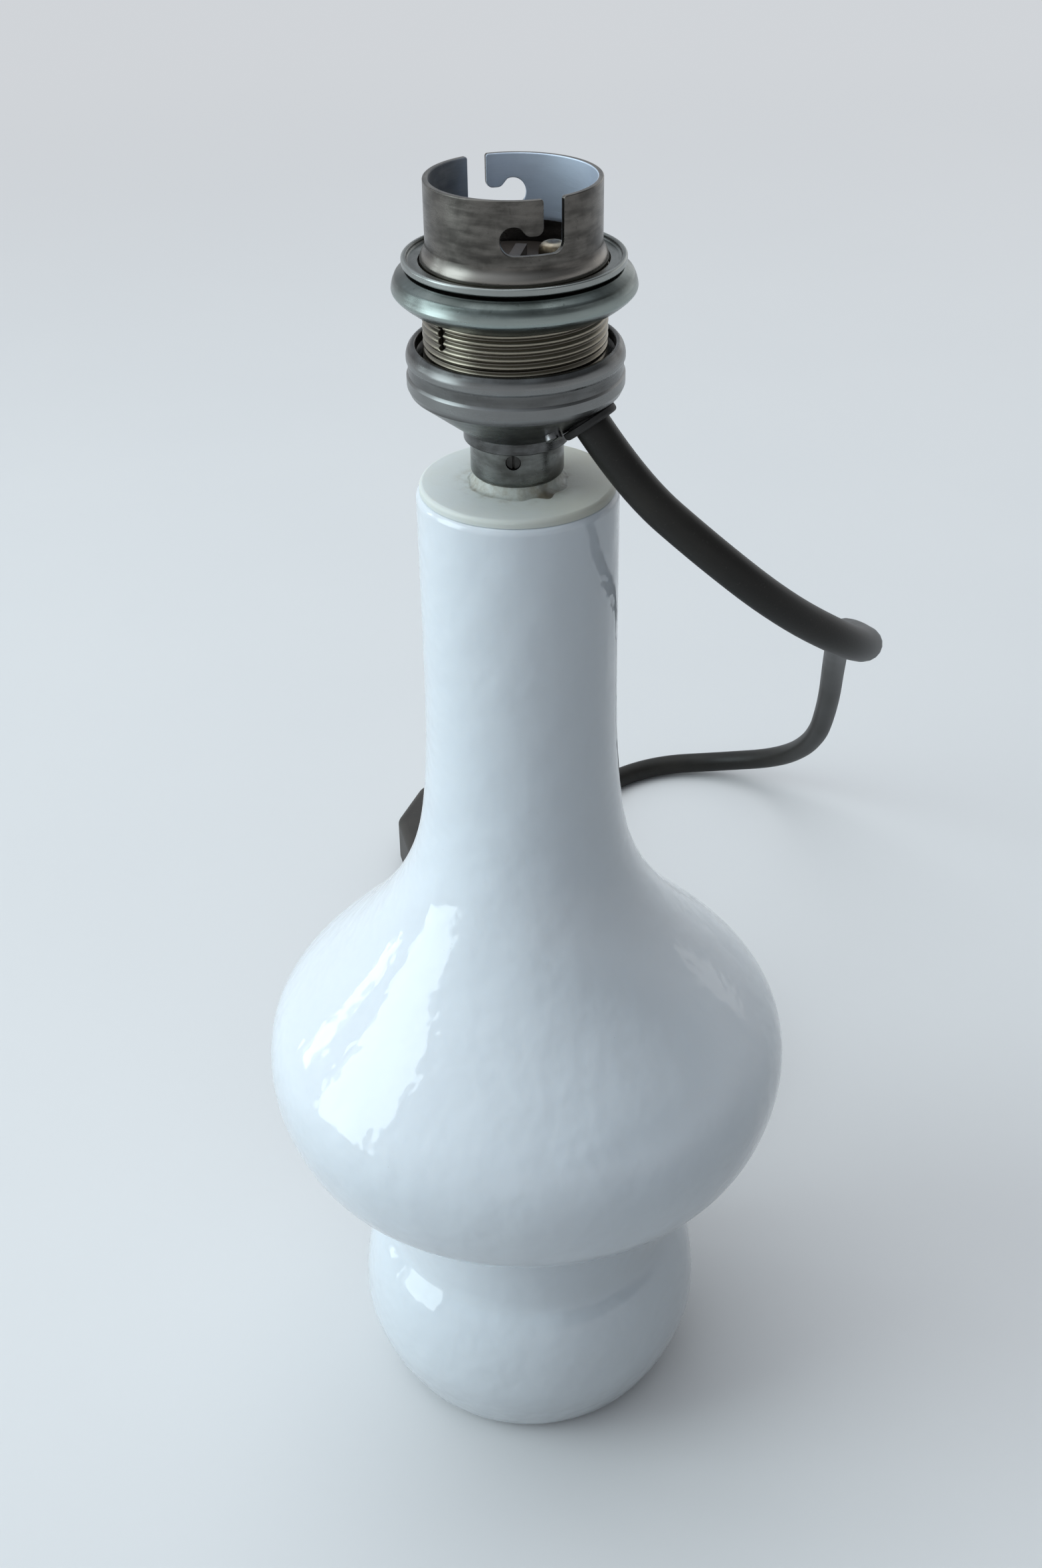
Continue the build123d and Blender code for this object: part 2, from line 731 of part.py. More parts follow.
# Coil: half turns on two centres, in along the lower layer, up in the innermost half
# turn, and out again along the upper one
with BuildPart() as cord_coil:
    with BuildLine() as coil_path:
        Line(coil_start, coil_entry)
        side, reach = 1, coil_radius
        for half_turn in range(coil_half_turns):
            start_reach, reach = reach, reach - coil_step / 2
            if half_turn == coil_half_turns - 1:
                reach -= coil_climb_inset
            arc_radius = (start_reach + reach) / 2
            middle_x = coil_x + side * (start_reach - arc_radius)
            ThreePointArc(
                (coil_x + side * start_reach, coil_y, low_layer),
                (middle_x, coil_y - side * arc_radius, low_layer),
                (coil_x - side * reach, coil_y, low_layer),
            )
            side = -side
        climb_crest = hypot(reach, coil_step / 2)
        climb_in = TangentArc(
            (coil_x + side * reach, coil_y, low_layer),
            (coil_x, coil_y - side * climb_crest, (low_layer + high_layer) / 2),
            tangent=(0, -side, 0),
        )
        TangentArc(climb_in @ 1, (coil_x - side * reach, coil_y, high_layer), tangent=climb_in % 1)
        side = -side
        for half_turn in range(coil_half_turns):
            start_reach, reach = reach, reach + coil_step / 2
            if half_turn == 0:
                reach += coil_climb_inset
            arc_radius = (start_reach + reach) / 2
            middle_x = coil_x + side * (start_reach - arc_radius)
            last_arc = ThreePointArc(
                (coil_x + side * start_reach, coil_y, high_layer),
                (middle_x, coil_y - side * arc_radius, high_layer),
                (coil_x - side * reach, coil_y, high_layer),
            )
            side = -side
        leave = JernArc(last_arc @ 1, last_arc % 1, reach, -coil_leave_angle)
        Line(leave @ 1, (leave @ 1) + (leave % 1) * cord_diameter)
    with BuildSketch(Plane(origin=coil_path.line @ 0, z_dir=coil_path.line % 0)):
        Circle(cord_radius)
    sweep()

coil_end = coil_path.line @ 1
coil_heading = coil_path.line % 1

# Tie round all turns on the lamp's side of the coil
outer_turn = coil_radius - coil_step / 4
tie_inner_width = outer_turn - climb_crest + cord_diameter + 2 * tie_side_gap
tie_inner_height = high_layer - low_layer + cord_diameter + 2 * tie_gap
tie_rounding = cord_radius + tie_gap
tie_plane = Plane(
    origin=(coil_x - tie_width / 2, coil_y - (outer_turn + climb_crest) / 2, (low_layer + high_layer) / 2),
    x_dir=(0, 1, 0), z_dir=(1, 0, 0),
)

with BuildPart() as coil_tie:
    with BuildSketch(tie_plane):
        RectangleRounded(
            tie_inner_width + 2 * tie_thickness, tie_inner_height + 2 * tie_thickness,
            tie_rounding + tie_thickness,
        )
        RectangleRounded(tie_inner_width, tie_inner_height, tie_rounding, mode=Mode.SUBTRACT)
    extrude(amount=tie_width)

# Tail from the coil down to the plug, which lies on the surface
plug_height = plug_thickness / 2
flat_heading = Vector(coil_heading.X, coil_heading.Y, 0).normalized()
relief_end = coil_end + flat_heading * tail_length
relief_end = Vector(relief_end.X, relief_end.Y, plug_height)
tail_route = [
    coil_end,
    coil_end + flat_heading * (tail_length / 3),
    relief_end - flat_heading * (tail_length / 3),
    relief_end,
]

with BuildPart() as cord_tail:
    with BuildLine() as tail_path:
        FilletPolyline(*tail_route, radius=bend_radii(tail_route))
    with BuildSketch(Plane(origin=tail_path.line @ 0, z_dir=tail_path.line % 0)):
        Circle(cord_radius)
    sweep()

# Plug: a flat two-pin body with its strain relief moulded on
plug_back = relief_end + flat_heading * relief_length
plug_front = plug_back + flat_heading * plug_length
plug_plan = Plane(origin=(plug_back.X, plug_back.Y, 0), x_dir=flat_heading, z_dir=(0, 0, 1))
shoulder = plug_shoulder_share * plug_length

with BuildPart() as plug_body:
    with BuildSketch(plug_plan):
        with BuildLine():
            Polyline(
                (0, -plug_neck_width / 2), (shoulder, -plug_width / 2), (plug_length, -plug_width / 2),
                (plug_length, plug_width / 2), (shoulder, plug_width / 2), (0, plug_neck_width / 2),
                close=True,
            )
        make_face()
        fillet(vertices(), radius=plug_corner_rounding)
    extrude(amount=plug_thickness)
    flat_faces = plug_body.faces().group_by(Axis.Z)
    fillet(flat_faces[0].edges() + flat_faces[-1].edges(), radius=plug_edge_rounding)
    with BuildSketch(Plane(origin=relief_end, z_dir=flat_heading)):
        Circle(cord_radius + relief_lip)
    with BuildSketch(Plane(origin=plug_back + flat_heading * plug_edge_rounding, z_dir=flat_heading)):
        Circle(relief_radius)
    loft()

with BuildPart() as plug_pins:
    sideways = flat_heading.cross(Vector(0, 0, 1))
    for side in (-1, 1):
        pin_foot = plug_front + sideways * (side * pin_spacing / 2)
        with BuildSketch(Plane(origin=pin_foot, z_dir=flat_heading)):
            Circle(pin_radius)
        extrude(amount=pin_length)
    tips = plug_pins.faces().sort_by(lambda face: (face.center() - plug_back).length)[-2:]
    fillet(tips.edges(), radius=pin_rounding)

# Core wires from the stripped end of the cord to the two terminals
terminal_bottom = insert_bottom - terminal_height
core_turn = exit_plane.x_dir.cross(exit_plane.z_dir)

with BuildPart() as core_wires:
    for side, half_turn in ((1, 0), (-1, 180)):
        across, along_y = place_of(half_turn)
        lead_start = cord_start + core_turn * (side * core_offset)
        lead_end = lead_start - exit_plane.z_dir * core_lead
        under_block = Vector(across, along_y, lead_end.Z)
        with BuildLine() as core_path:
            FilletPolyline(
                lead_start, lead_end, under_block, (across, along_y, terminal_bottom),
                radius=core_bend,
            )
        with BuildSketch(Plane(origin=core_path.line @ 0, z_dir=core_path.line % 0)):
            Circle(core_radius)
        sweep()


def least_gap(path, spacing):
    """Least distance between parts of a path further apart along it than a half turn."""
    count = int(path.length / spacing)
    points = [path @ (step / count) for step in range(count + 1)]
    skip = int(pi * climb_crest / spacing)
    return min(
        (points[first] - points[second]).length
        for first in range(len(points))
        for second in range(first + skip, len(points))
    ) - cord_diameter


print("least gap of the coil to itself: %.2f" % least_gap(coil_path.wire(), cord_radius))
for name, tube, path in (
    ("cord", cord, cord_path), ("cord_coil", cord_coil, coil_path), ("cord_tail", cord_tail, tail_path),
):
    length = path.wire().length
    share = tube.part.volume / (pi * cord_radius**2 * length)
    print("%s: length %.1f, volume over section times length %.4f" % (name, length, share))

pieces = {
    "glass_body": glass_body,
    "neck_stopper": neck_stopper,
    "tube_washer": tube_washer,
    "tube_nut": tube_nut,
    "threaded_tube": threaded_tube,
    "glue_bead": glue_bead,
    "ferrule": ferrule,
    "ferrule_grub_screw": ferrule_grub_screw,
    "holder_cap": holder_cap,
    "cap_nut": cap_nut,
    "cord_bush": cord_bush,
    "clamp_screw": clamp_screw,
    "cord_clamp": cord_clamp,
    "bayonet_shell": bayonet_shell,
    "lower_shade_ring": lower_shade_ring,
    "upper_shade_ring": upper_shade_ring,
    "holder_insert": holder_insert,
    "insert_ring": insert_ring,
    "contact_plunger_a": contact_plunger_a,
    "contact_plunger_b": contact_plunger_b,
    "plunger_spring_a": plunger_spring_a,
    "plunger_spring_b": plunger_spring_b,
    "terminal_block_a": terminal_block_a,
    "terminal_block_b": terminal_block_b,
    "terminal_screws": terminal_screws,
    "core_wires": core_wires,
    "cord": cord,
    "cord_coil": cord_coil,
    "coil_tie": coil_tie,
    "cord_tail": cord_tail,
    "plug_body": plug_body,
    "plug_pins": plug_pins,
}
for label, piece in pieces.items():
    piece.part.label = label
    export_step(piece.part, f"parts/{label}.step")
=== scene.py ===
"""Lamp base on a pale floor: opal glass, bayonet lampholder, cord and plug.

Shapes are written in millimetres and made in metres, +Z up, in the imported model's frame.
"""

import math

import bpy
import numpy as np
from mathutils import Matrix, Quaternion, Vector, noise
from mathutils.geometry import delaunay_2d_cdt


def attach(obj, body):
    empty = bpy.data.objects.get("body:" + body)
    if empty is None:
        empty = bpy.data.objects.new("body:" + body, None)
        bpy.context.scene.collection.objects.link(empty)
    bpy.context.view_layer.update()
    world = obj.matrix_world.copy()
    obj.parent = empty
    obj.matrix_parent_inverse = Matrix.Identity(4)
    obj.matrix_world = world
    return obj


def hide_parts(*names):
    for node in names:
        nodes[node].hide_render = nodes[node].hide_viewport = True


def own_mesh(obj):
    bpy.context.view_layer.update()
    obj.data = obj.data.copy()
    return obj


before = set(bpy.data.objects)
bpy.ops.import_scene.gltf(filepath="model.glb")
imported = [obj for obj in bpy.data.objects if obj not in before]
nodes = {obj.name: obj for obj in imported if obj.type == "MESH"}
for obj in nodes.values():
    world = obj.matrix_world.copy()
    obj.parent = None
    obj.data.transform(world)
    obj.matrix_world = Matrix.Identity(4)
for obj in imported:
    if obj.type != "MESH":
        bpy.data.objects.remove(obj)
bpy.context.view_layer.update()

MM = 0.001
scene = bpy.context.scene
scene.view_settings.view_transform = "Standard"

def new_object(name, data):
    made = bpy.data.objects.new(name, data)
    scene.collection.objects.link(made)
    return made


# Camera at the photograph's place, with the focal length in pixels of the picture
picture_height = 2359
focal_pixels = 2850
sensor_width = 36.0
camera_place = (0, -0.25644, 0.29438)
pitch_down, yaw, roll = (math.radians(angle) for angle in (33.094, -0.049, -0.920))
level_share = math.cos(pitch_down)
forward = Vector((math.sin(yaw) * level_share, math.cos(yaw) * level_share, -math.sin(pitch_down)))
sideways = Vector((math.cos(yaw), -math.sin(yaw), 0))
upward = sideways.cross(forward)
camera_right = math.cos(roll) * sideways + math.sin(roll) * upward
camera_up = math.cos(roll) * upward - math.sin(roll) * sideways
camera_data = bpy.data.cameras.new("camera")
camera_data.sensor_width = sensor_width
camera_data.lens = focal_pixels * sensor_width / picture_height
camera_data.clip_start = 0.01
camera = new_object("camera", camera_data)
turn = Matrix((camera_right, camera_up, -forward)).transposed().to_4x4()
camera.matrix_world = Matrix.Translation(camera_place) @ turn
scene.camera = camera

# The two sprung contacts: where they stand in the holder's block
contact_azimuth = -11.0
contact_offset = 5.5


# Shader helpers

def is_socket(value):
    return isinstance(value, bpy.types.NodeSocket)


def tree_of(*values):
    """The tree of the first socket among the values."""
    return next(value.id_data for value in values if is_socket(value))


def feed(socket, value):
    """Link a socket, or write a plain value."""
    if is_socket(value):
        tree_of(value).links.new(value, socket)
    else:
        socket.default_value = value


def feed_by_name(node, **values):
    for name, value in values.items():
        feed(node.inputs[name.replace("_", " ")], value)
    return node


def new_node(tree, kind, **values):
    return feed_by_name(tree.nodes.new("ShaderNode" + kind), **values)


def new_material(name, **values):
    """A material with its shader's sockets fed, and places on the piece in metres."""
    material = bpy.data.materials.new(name)
    material.use_nodes = True
    tree = material.node_tree
    feed_by_name(tree.nodes["Principled BSDF"], **values)
    return material, new_node(tree, "TexCoord").outputs["Object"]


def maths(operation, *values, clamp=False):
    made = new_node(tree_of(*values), "Math")
    made.operation = operation
    made.use_clamp = clamp
    for socket, value in zip(made.inputs, values):
        feed(socket, value)
    return made.outputs[0]


def times(first, second):
    return maths("MULTIPLY", first, second)


def plus(first, second):
    return maths("ADD", first, second)


def vector_maths(operation, *values):
    made = new_node(tree_of(*values), "VectorMath")
    made.operation = operation
    for socket, value in zip(made.inputs, values):
        feed(socket, value)
    return made.outputs["Value" if operation in ("LENGTH", "DOT_PRODUCT") else "Vector"]


def parts_of(vector):
    return new_node(tree_of(vector), "SeparateXYZ", Vector=vector).outputs


def from_parts(x, y, z):
    return new_node(tree_of(x), "CombineXYZ", X=x, Y=y, Z=z).outputs[0]


def cloud(vector, scale, detail=3.0, rough=0.5, distortion=0.0):
    """Noise from 0 to 1 about one half."""
    values = dict(Vector=vector, Scale=scale, Detail=detail, Roughness=rough, Distortion=distortion)
    return new_node(tree_of(vector), "TexNoise", **values).outputs["Fac"]


def cells(vector, scale):
    """Distance to the nearest of scattered points."""
    return new_node(tree_of(vector), "TexVoronoi", Vector=vector, Scale=scale).outputs["Distance"]


def spread(value, low, high, to_low=0.0, to_high=1.0):
    """Map low to high smoothly onto to_low to to_high, held at both ends."""
    values = dict(Value=value, From_Min=low, From_Max=high, To_Min=to_low, To_Max=to_high)
    made = new_node(tree_of(value), "MapRange", **values)
    made.interpolation_type = "SMOOTHSTEP"
    return made.outputs[0]


def blend(share, first, second):
    """Mix two colours: a mix node's colour sockets are its inputs 6 and 7 and its output 2."""
    made = new_node(tree_of(share), "Mix")
    made.data_type = "RGBA"
    feed(made.inputs[0], share)
    for socket, colour in ((made.inputs[6], first), (made.inputs[7], second)):
        feed(socket, (*colour, 1) if isinstance(colour, tuple) else colour)
    return made.outputs[2]


def round_grain(vector, fine, along):
    """Coordinates for a lathe's fine lines, near constant round the upright axis, and the radius."""
    radius_share = 0.8
    flat = vector_maths("MULTIPLY", vector, (1, 1, 0))
    radius = vector_maths("LENGTH", flat)
    heading = parts_of(vector_maths("NORMALIZE", flat))
    climb = maths("MULTIPLY_ADD", radius, radius_share, parts_of(vector)[2])
    grain = (times(heading[0], along), times(heading[1], along), times(climb, fine))
    return from_parts(*grain), radius


# Materials

def laid_over(colour, mask, amount, other):
    """Cover a colour with another one where a mask is, by an amount."""
    return blend(times(mask, amount), colour, other)


def finished(material, colour, rough, relief, depth, strength=1.0):
    """Link colour, roughness and a relief from 0 to 1 that stands for a depth in metres."""
    bump = new_node(tree_of(relief), "Bump", Strength=strength, Distance=depth, Height=relief)
    shader = material.node_tree.nodes["Principled BSDF"]
    feed_by_name(shader, Base_Color=colour, Roughness=rough, Normal=bump.outputs[0])
    return material


def opal_glass():
    """White blown glass: soft depth, a wet shine, faint waves and a few seeds and specks."""
    cool, pale = (0.705, 0.765, 0.82), (0.75, 0.79, 0.825)
    low_shade, brown = (0.69, 0.735, 0.745), (0.42, 0.40, 0.36)
    low_shade_up_to = 0.055
    material, at = new_material(
        "opal_glass", IOR=1.5, Coat_Weight=0.3, Coat_Roughness=0.02,
        Subsurface_Weight=0.25, Subsurface_Radius=(0.003, 0.0035, 0.004), Subsurface_Scale=1.0,
    )
    colour = blend(cloud(at, 22, 2.0), cool, pale)
    # Painted shade: the glass is darker and greener from the floor up to 55 mm.
    low = spread(parts_of(at)[2], 0.0, low_shade_up_to, 1.0, 0.0)
    colour = laid_over(colour, low, 0.25, low_shade)
    speck = spread(cells(at, 620), 0.0, 0.085, 1.0, 0.0)
    rare = spread(cloud(at, 95, 1.0), 0.60, 0.72)
    colour = laid_over(colour, times(speck, rare), 0.45, brown)
    rough = spread(cloud(at, 48, 5.0, 0.6, 0.4), 0.35, 0.75, 0.035, 0.11)
    waves = plus(cloud(at, 42, 1.0, 0.4), times(cloud(at, 150, 2.0), 1.5))
    return finished(material, colour, rough, waves, depth=0.00045, strength=0.55)


def ivory_plastic():
    """Yellowed plastic of the stopper, bluish towards -x as painted cool light and yellower and darker
    towards +x as painted shade, with glue haze near the ferrule and fine scratches.
    """
    clean_and_cool_lit, yellowed_and_shaded = (0.80, 0.86, 0.865), (0.67, 0.65, 0.54)
    haze, grime = (0.44, 0.42, 0.34), (0.50, 0.50, 0.43)
    haze_radius, haze_end = 0.0072, 0.0102
    rim_inner, rim_outer = 0.0137, 0.01442
    material, at = new_material(
        "ivory_plastic",
        Subsurface_Weight=0.12, Subsurface_Radius=(0.002, 0.0015, 0.001), Subsurface_Scale=1.0,
    )
    grain, radius = round_grain(at, 5200, 5)
    aged = cloud(at, 75, 4.0, 0.55, 0.5)
    # Painted light and shade: towards -x the colour stays bluish, towards +x it turns yellower and darker.
    across = spread(parts_of(at)[0], -0.012, 0.013)
    share = maths("MULTIPLY_ADD", aged, 0.55, times(across, 0.55), clamp=True)
    colour = blend(share, clean_and_cool_lit, yellowed_and_shaded)
    near = spread(radius, haze_radius, haze_end, 1.0, 0.0)
    blotch = spread(cloud(at, 420, 4.0, 0.6), 0.42, 0.66)
    colour = laid_over(colour, times(near, blotch), 0.55, haze)
    colour = laid_over(colour, spread(radius, rim_inner, rim_outer), 0.35, grime)
    lines = cloud(grain, 1.0, 2.0)
    relief = plus(times(lines, 0.3), cloud(at, 900, 3.0))
    rough = spread(lines, 0.2, 0.8, 0.36, 0.56)
    return finished(material, colour, rough, relief, depth=0.00003)


def old_glue():
    """Dried glue, grey-beige with dirt in its hollows and a brown stain at the front."""
    light, shade, brown = (0.50, 0.52, 0.475), (0.35, 0.33, 0.27), (0.11, 0.085, 0.05)
    stain_place = (0.0043, -0.0068, 0.1806)
    stain_inner, stain_outer = 0.0009, 0.0024
    material, at = new_material(
        "glue", Subsurface_Weight=0.1, Subsurface_Radius=(0.001, 0.0008, 0.0006), Subsurface_Scale=1.0,
    )
    colour = blend(spread(cloud(at, 700, 5.0, 0.65), 0.36, 0.68), light, shade)
    away = vector_maths("LENGTH", vector_maths("SUBTRACT", at, stain_place))
    colour = laid_over(colour, spread(away, stain_inner, stain_outer, 1.0, 0.0), 0.85, brown)
    rough = spread(cloud(at, 1500, 3.0), 0.3, 0.7, 0.3, 0.6)
    return finished(material, colour, rough, cloud(at, 1100, 4.0, 0.6), depth=0.00008)


def turned_metal(name, bright, dark, deep, wear_and_highlight_radius=None, inside=None, thread=None):
    """Aged plating on turned metal: lathe lines, brown stains, dark pits and rubbed edges.

    bright, dark and deep are the colours of the plating, its tarnish and the dirt in its
    pits. Past the radius given after deep, an edge is lighter: rubbed wear, and on the
    barrel's flare a painted highlight too. inside is (radius, height, colour) of a cleaner
    bore above that height, whose pale bluish colour is partly a painted reflection, laid
    heavily towards +x and lightly towards -x as painted shade. thread is (root radius, crest
    radius, top, groove colour, crest colour) of a thread whose brass shows: its grooves are
    darker, partly dirt and partly painted shade, and its crests lighter, partly brass wear
    and partly painted highlight. Lengths are in metres.
    """
    wear_and_highlight_colour = tuple(min(1, 1.9 * channel) for channel in bright)
    material, at = new_material(name, Metallic=1.0)
    grain, radius = round_grain(at, 5200, 4.5)
    broad, _ = round_grain(at, 800, 2.2)
    lines = cloud(grain, 1.0, 3.0, 0.6)
    bands = cloud(broad, 1.0, 2.0)
    stain = cloud(at, 130, 5.0, 0.62, 0.6)
    share = plus(times(stain, 0.55), times(bands, 0.45))
    colour = blend(spread(share, 0.36, 0.64), bright, dark)
    colour = laid_over(colour, spread(lines, 0.52, 0.74), 0.26, dark)
    pits = spread(cloud(at, 1500, 3.0, 0.6), 0.60, 0.76)
    colour = laid_over(colour, pits, 0.4, deep)
    # Lighter past the edge radius: rubbed wear, and on the barrel's flare a painted highlight too.
    if wear_and_highlight_radius:
        uneven = plus(radius, times(stain, 0.0004))
        rubbed = spread(uneven, wear_and_highlight_radius, wear_and_highlight_radius + 0.0004)
        colour = laid_over(colour, rubbed, 0.7, wear_and_highlight_colour)
    # Painted reflection and shade: the bore takes a pale bluish colour, heavily towards +x and lightly
    # towards -x.
    if inside:
        bore_radius, bore_foot, clean_and_cool_lit = inside
        deeper = spread(radius, bore_radius, bore_radius + 0.0001, 1.0, 0.0)
        higher = spread(parts_of(at)[2], bore_foot, bore_foot + 0.0004)
        in_bore = times(deeper, higher)
        side = maths("MULTIPLY_ADD", stain, 0.004, parts_of(at)[0])
        colour = laid_over(colour, in_bore, spread(side, -0.0075, 0.0, 0.12, 0.8), clean_and_cool_lit)
    # Darker grooves and lighter crests: partly dirt and brass wear, partly painted shade and painted
    # highlight.
    if thread:
        root, crest, top, groove_dirt_and_shade, crest_wear_and_highlight = thread
        below = spread(parts_of(at)[2], top, top + 0.0003, 1.0, 0.0)
        brass = blend(spread(radius, root, crest), groove_dirt_and_shade, crest_wear_and_highlight)
        on_sleeve = times(below, spread(radius, root - 0.0002, root))
        colour = laid_over(colour, on_sleeve, 0.75, brass)
    rough = plus(times(lines, 0.15), times(stain, 0.18))
    if inside:
        rough = maths("MULTIPLY_ADD", in_bore, 0.3, rough)
    rough = plus(rough, 0.13)
    relief = plus(times(lines, 0.6), times(pits, -0.5))
    return finished(material, colour, rough, relief, depth=0.000022, strength=0.8)


def plain_metal(name, bright, dark, rough=0.3):
    """Small metal parts: even plating with faint stains and fine scratches."""
    material, at = new_material(name, Metallic=1.0)
    stain = spread(cloud(at, 600, 4.0, 0.6), 0.35, 0.7)
    colour = blend(stain, bright, dark)
    scratch = cloud(vector_maths("MULTIPLY", at, (1, 1, 9)), 1400, 2.0)
    uneven = maths("MULTIPLY_ADD", scratch, 0.22, rough - 0.11)
    return finished(material, colour, uneven, scratch, depth=0.00001)


def soft_plastic(name, light, shade, rough, grain_scale, depth, **values):
    """Moulded plastic or rubber: a fine grain, a little dust and rubbed patches."""
    dusty = tuple(min(1, 2.4 * channel + 0.03) for channel in light)
    material, at = new_material(name, **values)
    patch = cloud(at, 60, 4.0, 0.6)
    colour = blend(spread(patch, 0.35, 0.7), shade, light)
    dust = spread(cloud(at, grain_scale * 0.7, 2.0), 0.62, 0.8)
    colour = laid_over(colour, dust, 0.25, dusty)
    uneven = maths("MULTIPLY_ADD", patch, 0.24, rough - 0.12)
    return finished(material, colour, uneven, cloud(at, grain_scale, 3.0, 0.6), depth)


def contact_tip():
    """Sprung brass contact: a dark, burnt centre in a ring rubbed bright by the lamp's pads."""
    brass, shade = (0.20, 0.155, 0.10), (0.10, 0.078, 0.052)
    rubbed, burnt = (0.40, 0.355, 0.28), (0.05, 0.045, 0.04)
    material, at = new_material("contact_tip", Metallic=1.0)
    bearing = math.radians(contact_azimuth)
    along = vector_maths("DOT_PRODUCT", at, (math.cos(bearing), math.sin(bearing), 0))
    beside = vector_maths("DOT_PRODUCT", at, (-math.sin(bearing), math.cos(bearing), 0))
    off_axis = maths("SUBTRACT", maths("ABSOLUTE", along), contact_offset * MM)
    radius = vector_maths("LENGTH", from_parts(off_axis, beside, 0.0))
    stain = cloud(at, 900, 4.0, 0.6)
    colour = blend(spread(stain, 0.35, 0.7), brass, shade)
    ring = times(spread(radius, 0.0009, 0.0012), spread(radius, 0.0015, 0.0018, 1.0, 0.0))
    colour = laid_over(colour, ring, 0.7, rubbed)
    colour = laid_over(colour, spread(radius, 0.0006, 0.0010, 1.0, 0.0), 0.8, burnt)
    rough = spread(stain, 0.3, 0.7, 0.28, 0.55)
    return finished(material, colour, rough, stain, depth=0.00003)


# By name, without the number that a name shared with one of the CAD's materials gets
looks = {look.name.split(".")[0]: look for look in (
    opal_glass(),
    ivory_plastic(),
    old_glue(),
    # Barrel, cap, rings and ferrule share one nickel plating; their base colours differ part by part in
    # brightness, and the rings' in a green tint, as painted light and shade.
    turned_metal(
        "barrel_nickel", (0.155, 0.144, 0.13), (0.054, 0.05, 0.045), (0.028, 0.025, 0.022), 0.01245,
        # The bore's pale bluish colour is partly a painted reflection.
        inside=(0.01147, 0.2139, (0.72, 0.81, 0.93)),
        # Groove and crest colours: partly dirt and brass wear, partly painted shade and painted highlight.
        thread=(0.01258, 0.0130, 0.2133, (0.10, 0.088, 0.066), (0.29, 0.262, 0.20)),
    ),
    turned_metal("cap_nickel", (0.135, 0.137, 0.135), (0.052, 0.05, 0.048), (0.026, 0.024, 0.021), 0.0153),
    turned_metal("ring_nickel", (0.185, 0.21, 0.20), (0.08, 0.092, 0.086), (0.033, 0.036, 0.032), 0.0169),
    turned_metal("dish_nickel", (0.19, 0.20, 0.192), (0.085, 0.09, 0.084), (0.032, 0.033, 0.029), 0.0152),
    turned_metal("ferrule_nickel", (0.185, 0.192, 0.182), (0.082, 0.082, 0.076), (0.03, 0.03, 0.026)),
    turned_metal("aged_brass", (0.50, 0.38, 0.20), (0.28, 0.20, 0.10), (0.10, 0.07, 0.035)),
    plain_metal("zinc_steel", (0.52, 0.53, 0.55), (0.30, 0.295, 0.29)),
    plain_metal("blackened_steel", (0.06, 0.058, 0.055), (0.022, 0.021, 0.02), 0.5),
    plain_metal("worn_steel", (0.33, 0.33, 0.335), (0.15, 0.147, 0.143), 0.34),
    plain_metal("contact_brass", (0.60, 0.46, 0.24), (0.34, 0.25, 0.13)),
    contact_tip(),
    plain_metal("pin_metal", (0.70, 0.68, 0.64), (0.46, 0.43, 0.39), 0.24),
    soft_plastic("dark_moulding", (0.075, 0.058, 0.046), (0.04, 0.031, 0.025), 0.42, 1500, 0.00003),
    soft_plastic("black_rubber", (0.022, 0.020, 0.019), (0.010, 0.009, 0.008), 0.6, 2600, 0.00003),
    soft_plastic(
        "cord_jacket", (0.017, 0.015, 0.012), (0.009, 0.008, 0.0065), 0.46, 3200, 0.00002,
        Specular_IOR_Level=0.28, Sheen_Weight=0.03, Sheen_Roughness=0.5,
    ),
    soft_plastic("core_insulation", (0.16, 0.26, 0.52), (0.09, 0.15, 0.34), 0.45, 1800, 0.00002),
    soft_plastic("plug_plastic", (0.040, 0.034, 0.028), (0.020, 0.017, 0.014), 0.52, 2400, 0.00005),
)}

# CAD nodes that keep their own shape, by the look they take
dressed_nodes = {
    "ivory_plastic": ("neck_stopper",),
    "zinc_steel": (
        "tube_washer", "tube_nut", "threaded_tube", "cord_clamp", "insert_ring", "terminal_screws",
    ),
    "blackened_steel": ("ferrule_grub_screw",),
    "worn_steel": ("clamp_screw",),
    "aged_brass": ("cap_nut",),
    "black_rubber": ("cord_bush", "coil_tie"),
    "dark_moulding": ("holder_insert",),
    "contact_tip": ("contact_plunger_a", "contact_plunger_b"),
    "contact_brass": ("terminal_block_a", "terminal_block_b"),
    "core_insulation": ("core_wires",),
    "plug_plastic": ("plug_body",),
    "pin_metal": ("plug_pins",),
}
for look, node_names in dressed_nodes.items():
    for node_name in node_names:
        for slot in nodes[node_name].material_slots:
            slot.material = looks[look]


# Shape helpers
negligible = 1e-6
same_place = 1e-4


def add_piece(name, points, faces, look, normals=None):
    """A smooth mesh from points in millimetres, with its material."""
    mesh = bpy.data.meshes.new(name)
    mesh.from_pydata((np.asarray(points) * MM).tolist(), [], faces)
    mesh.polygons.foreach_set("use_smooth", [True] * len(mesh.polygons))
    mesh.materials.append(looks[look])
    if normals is not None:
        mesh.normals_split_custom_set_from_vertices(normals)
    return new_object(name, mesh)


def stands_for(piece, node_name, body):
    """A piece that replaces a node and rides with its body."""
    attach(piece, body)
    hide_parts(node_name)


def on_side(azimuth, out, height):
    """A place or a way, from its azimuth in degrees, its reach from the axis and its height."""
    angle = math.radians(azimuth)
    return out * math.cos(angle), out * math.sin(angle), height


def skin(rings, sides, closed=False):
    """Faces between rings of as many points each, which are numbered ring after ring."""
    faces = []
    for ring in range(rings if closed else rings - 1):
        here, there = ring * sides, (ring + 1) % rings * sides
        for side in range(sides):
            after = (side + 1) % sides
            faces.append([here + side, there + side, there + after, here + after])
    return faces


def unit(rows):
    return rows / np.linalg.norm(rows, axis=1)[:, None]


def turned_vector(vector, angle):
    c, s = math.cos(angle), math.sin(angle)
    return np.array((c * vector[0] - s * vector[1], s * vector[0] + c * vector[1]))


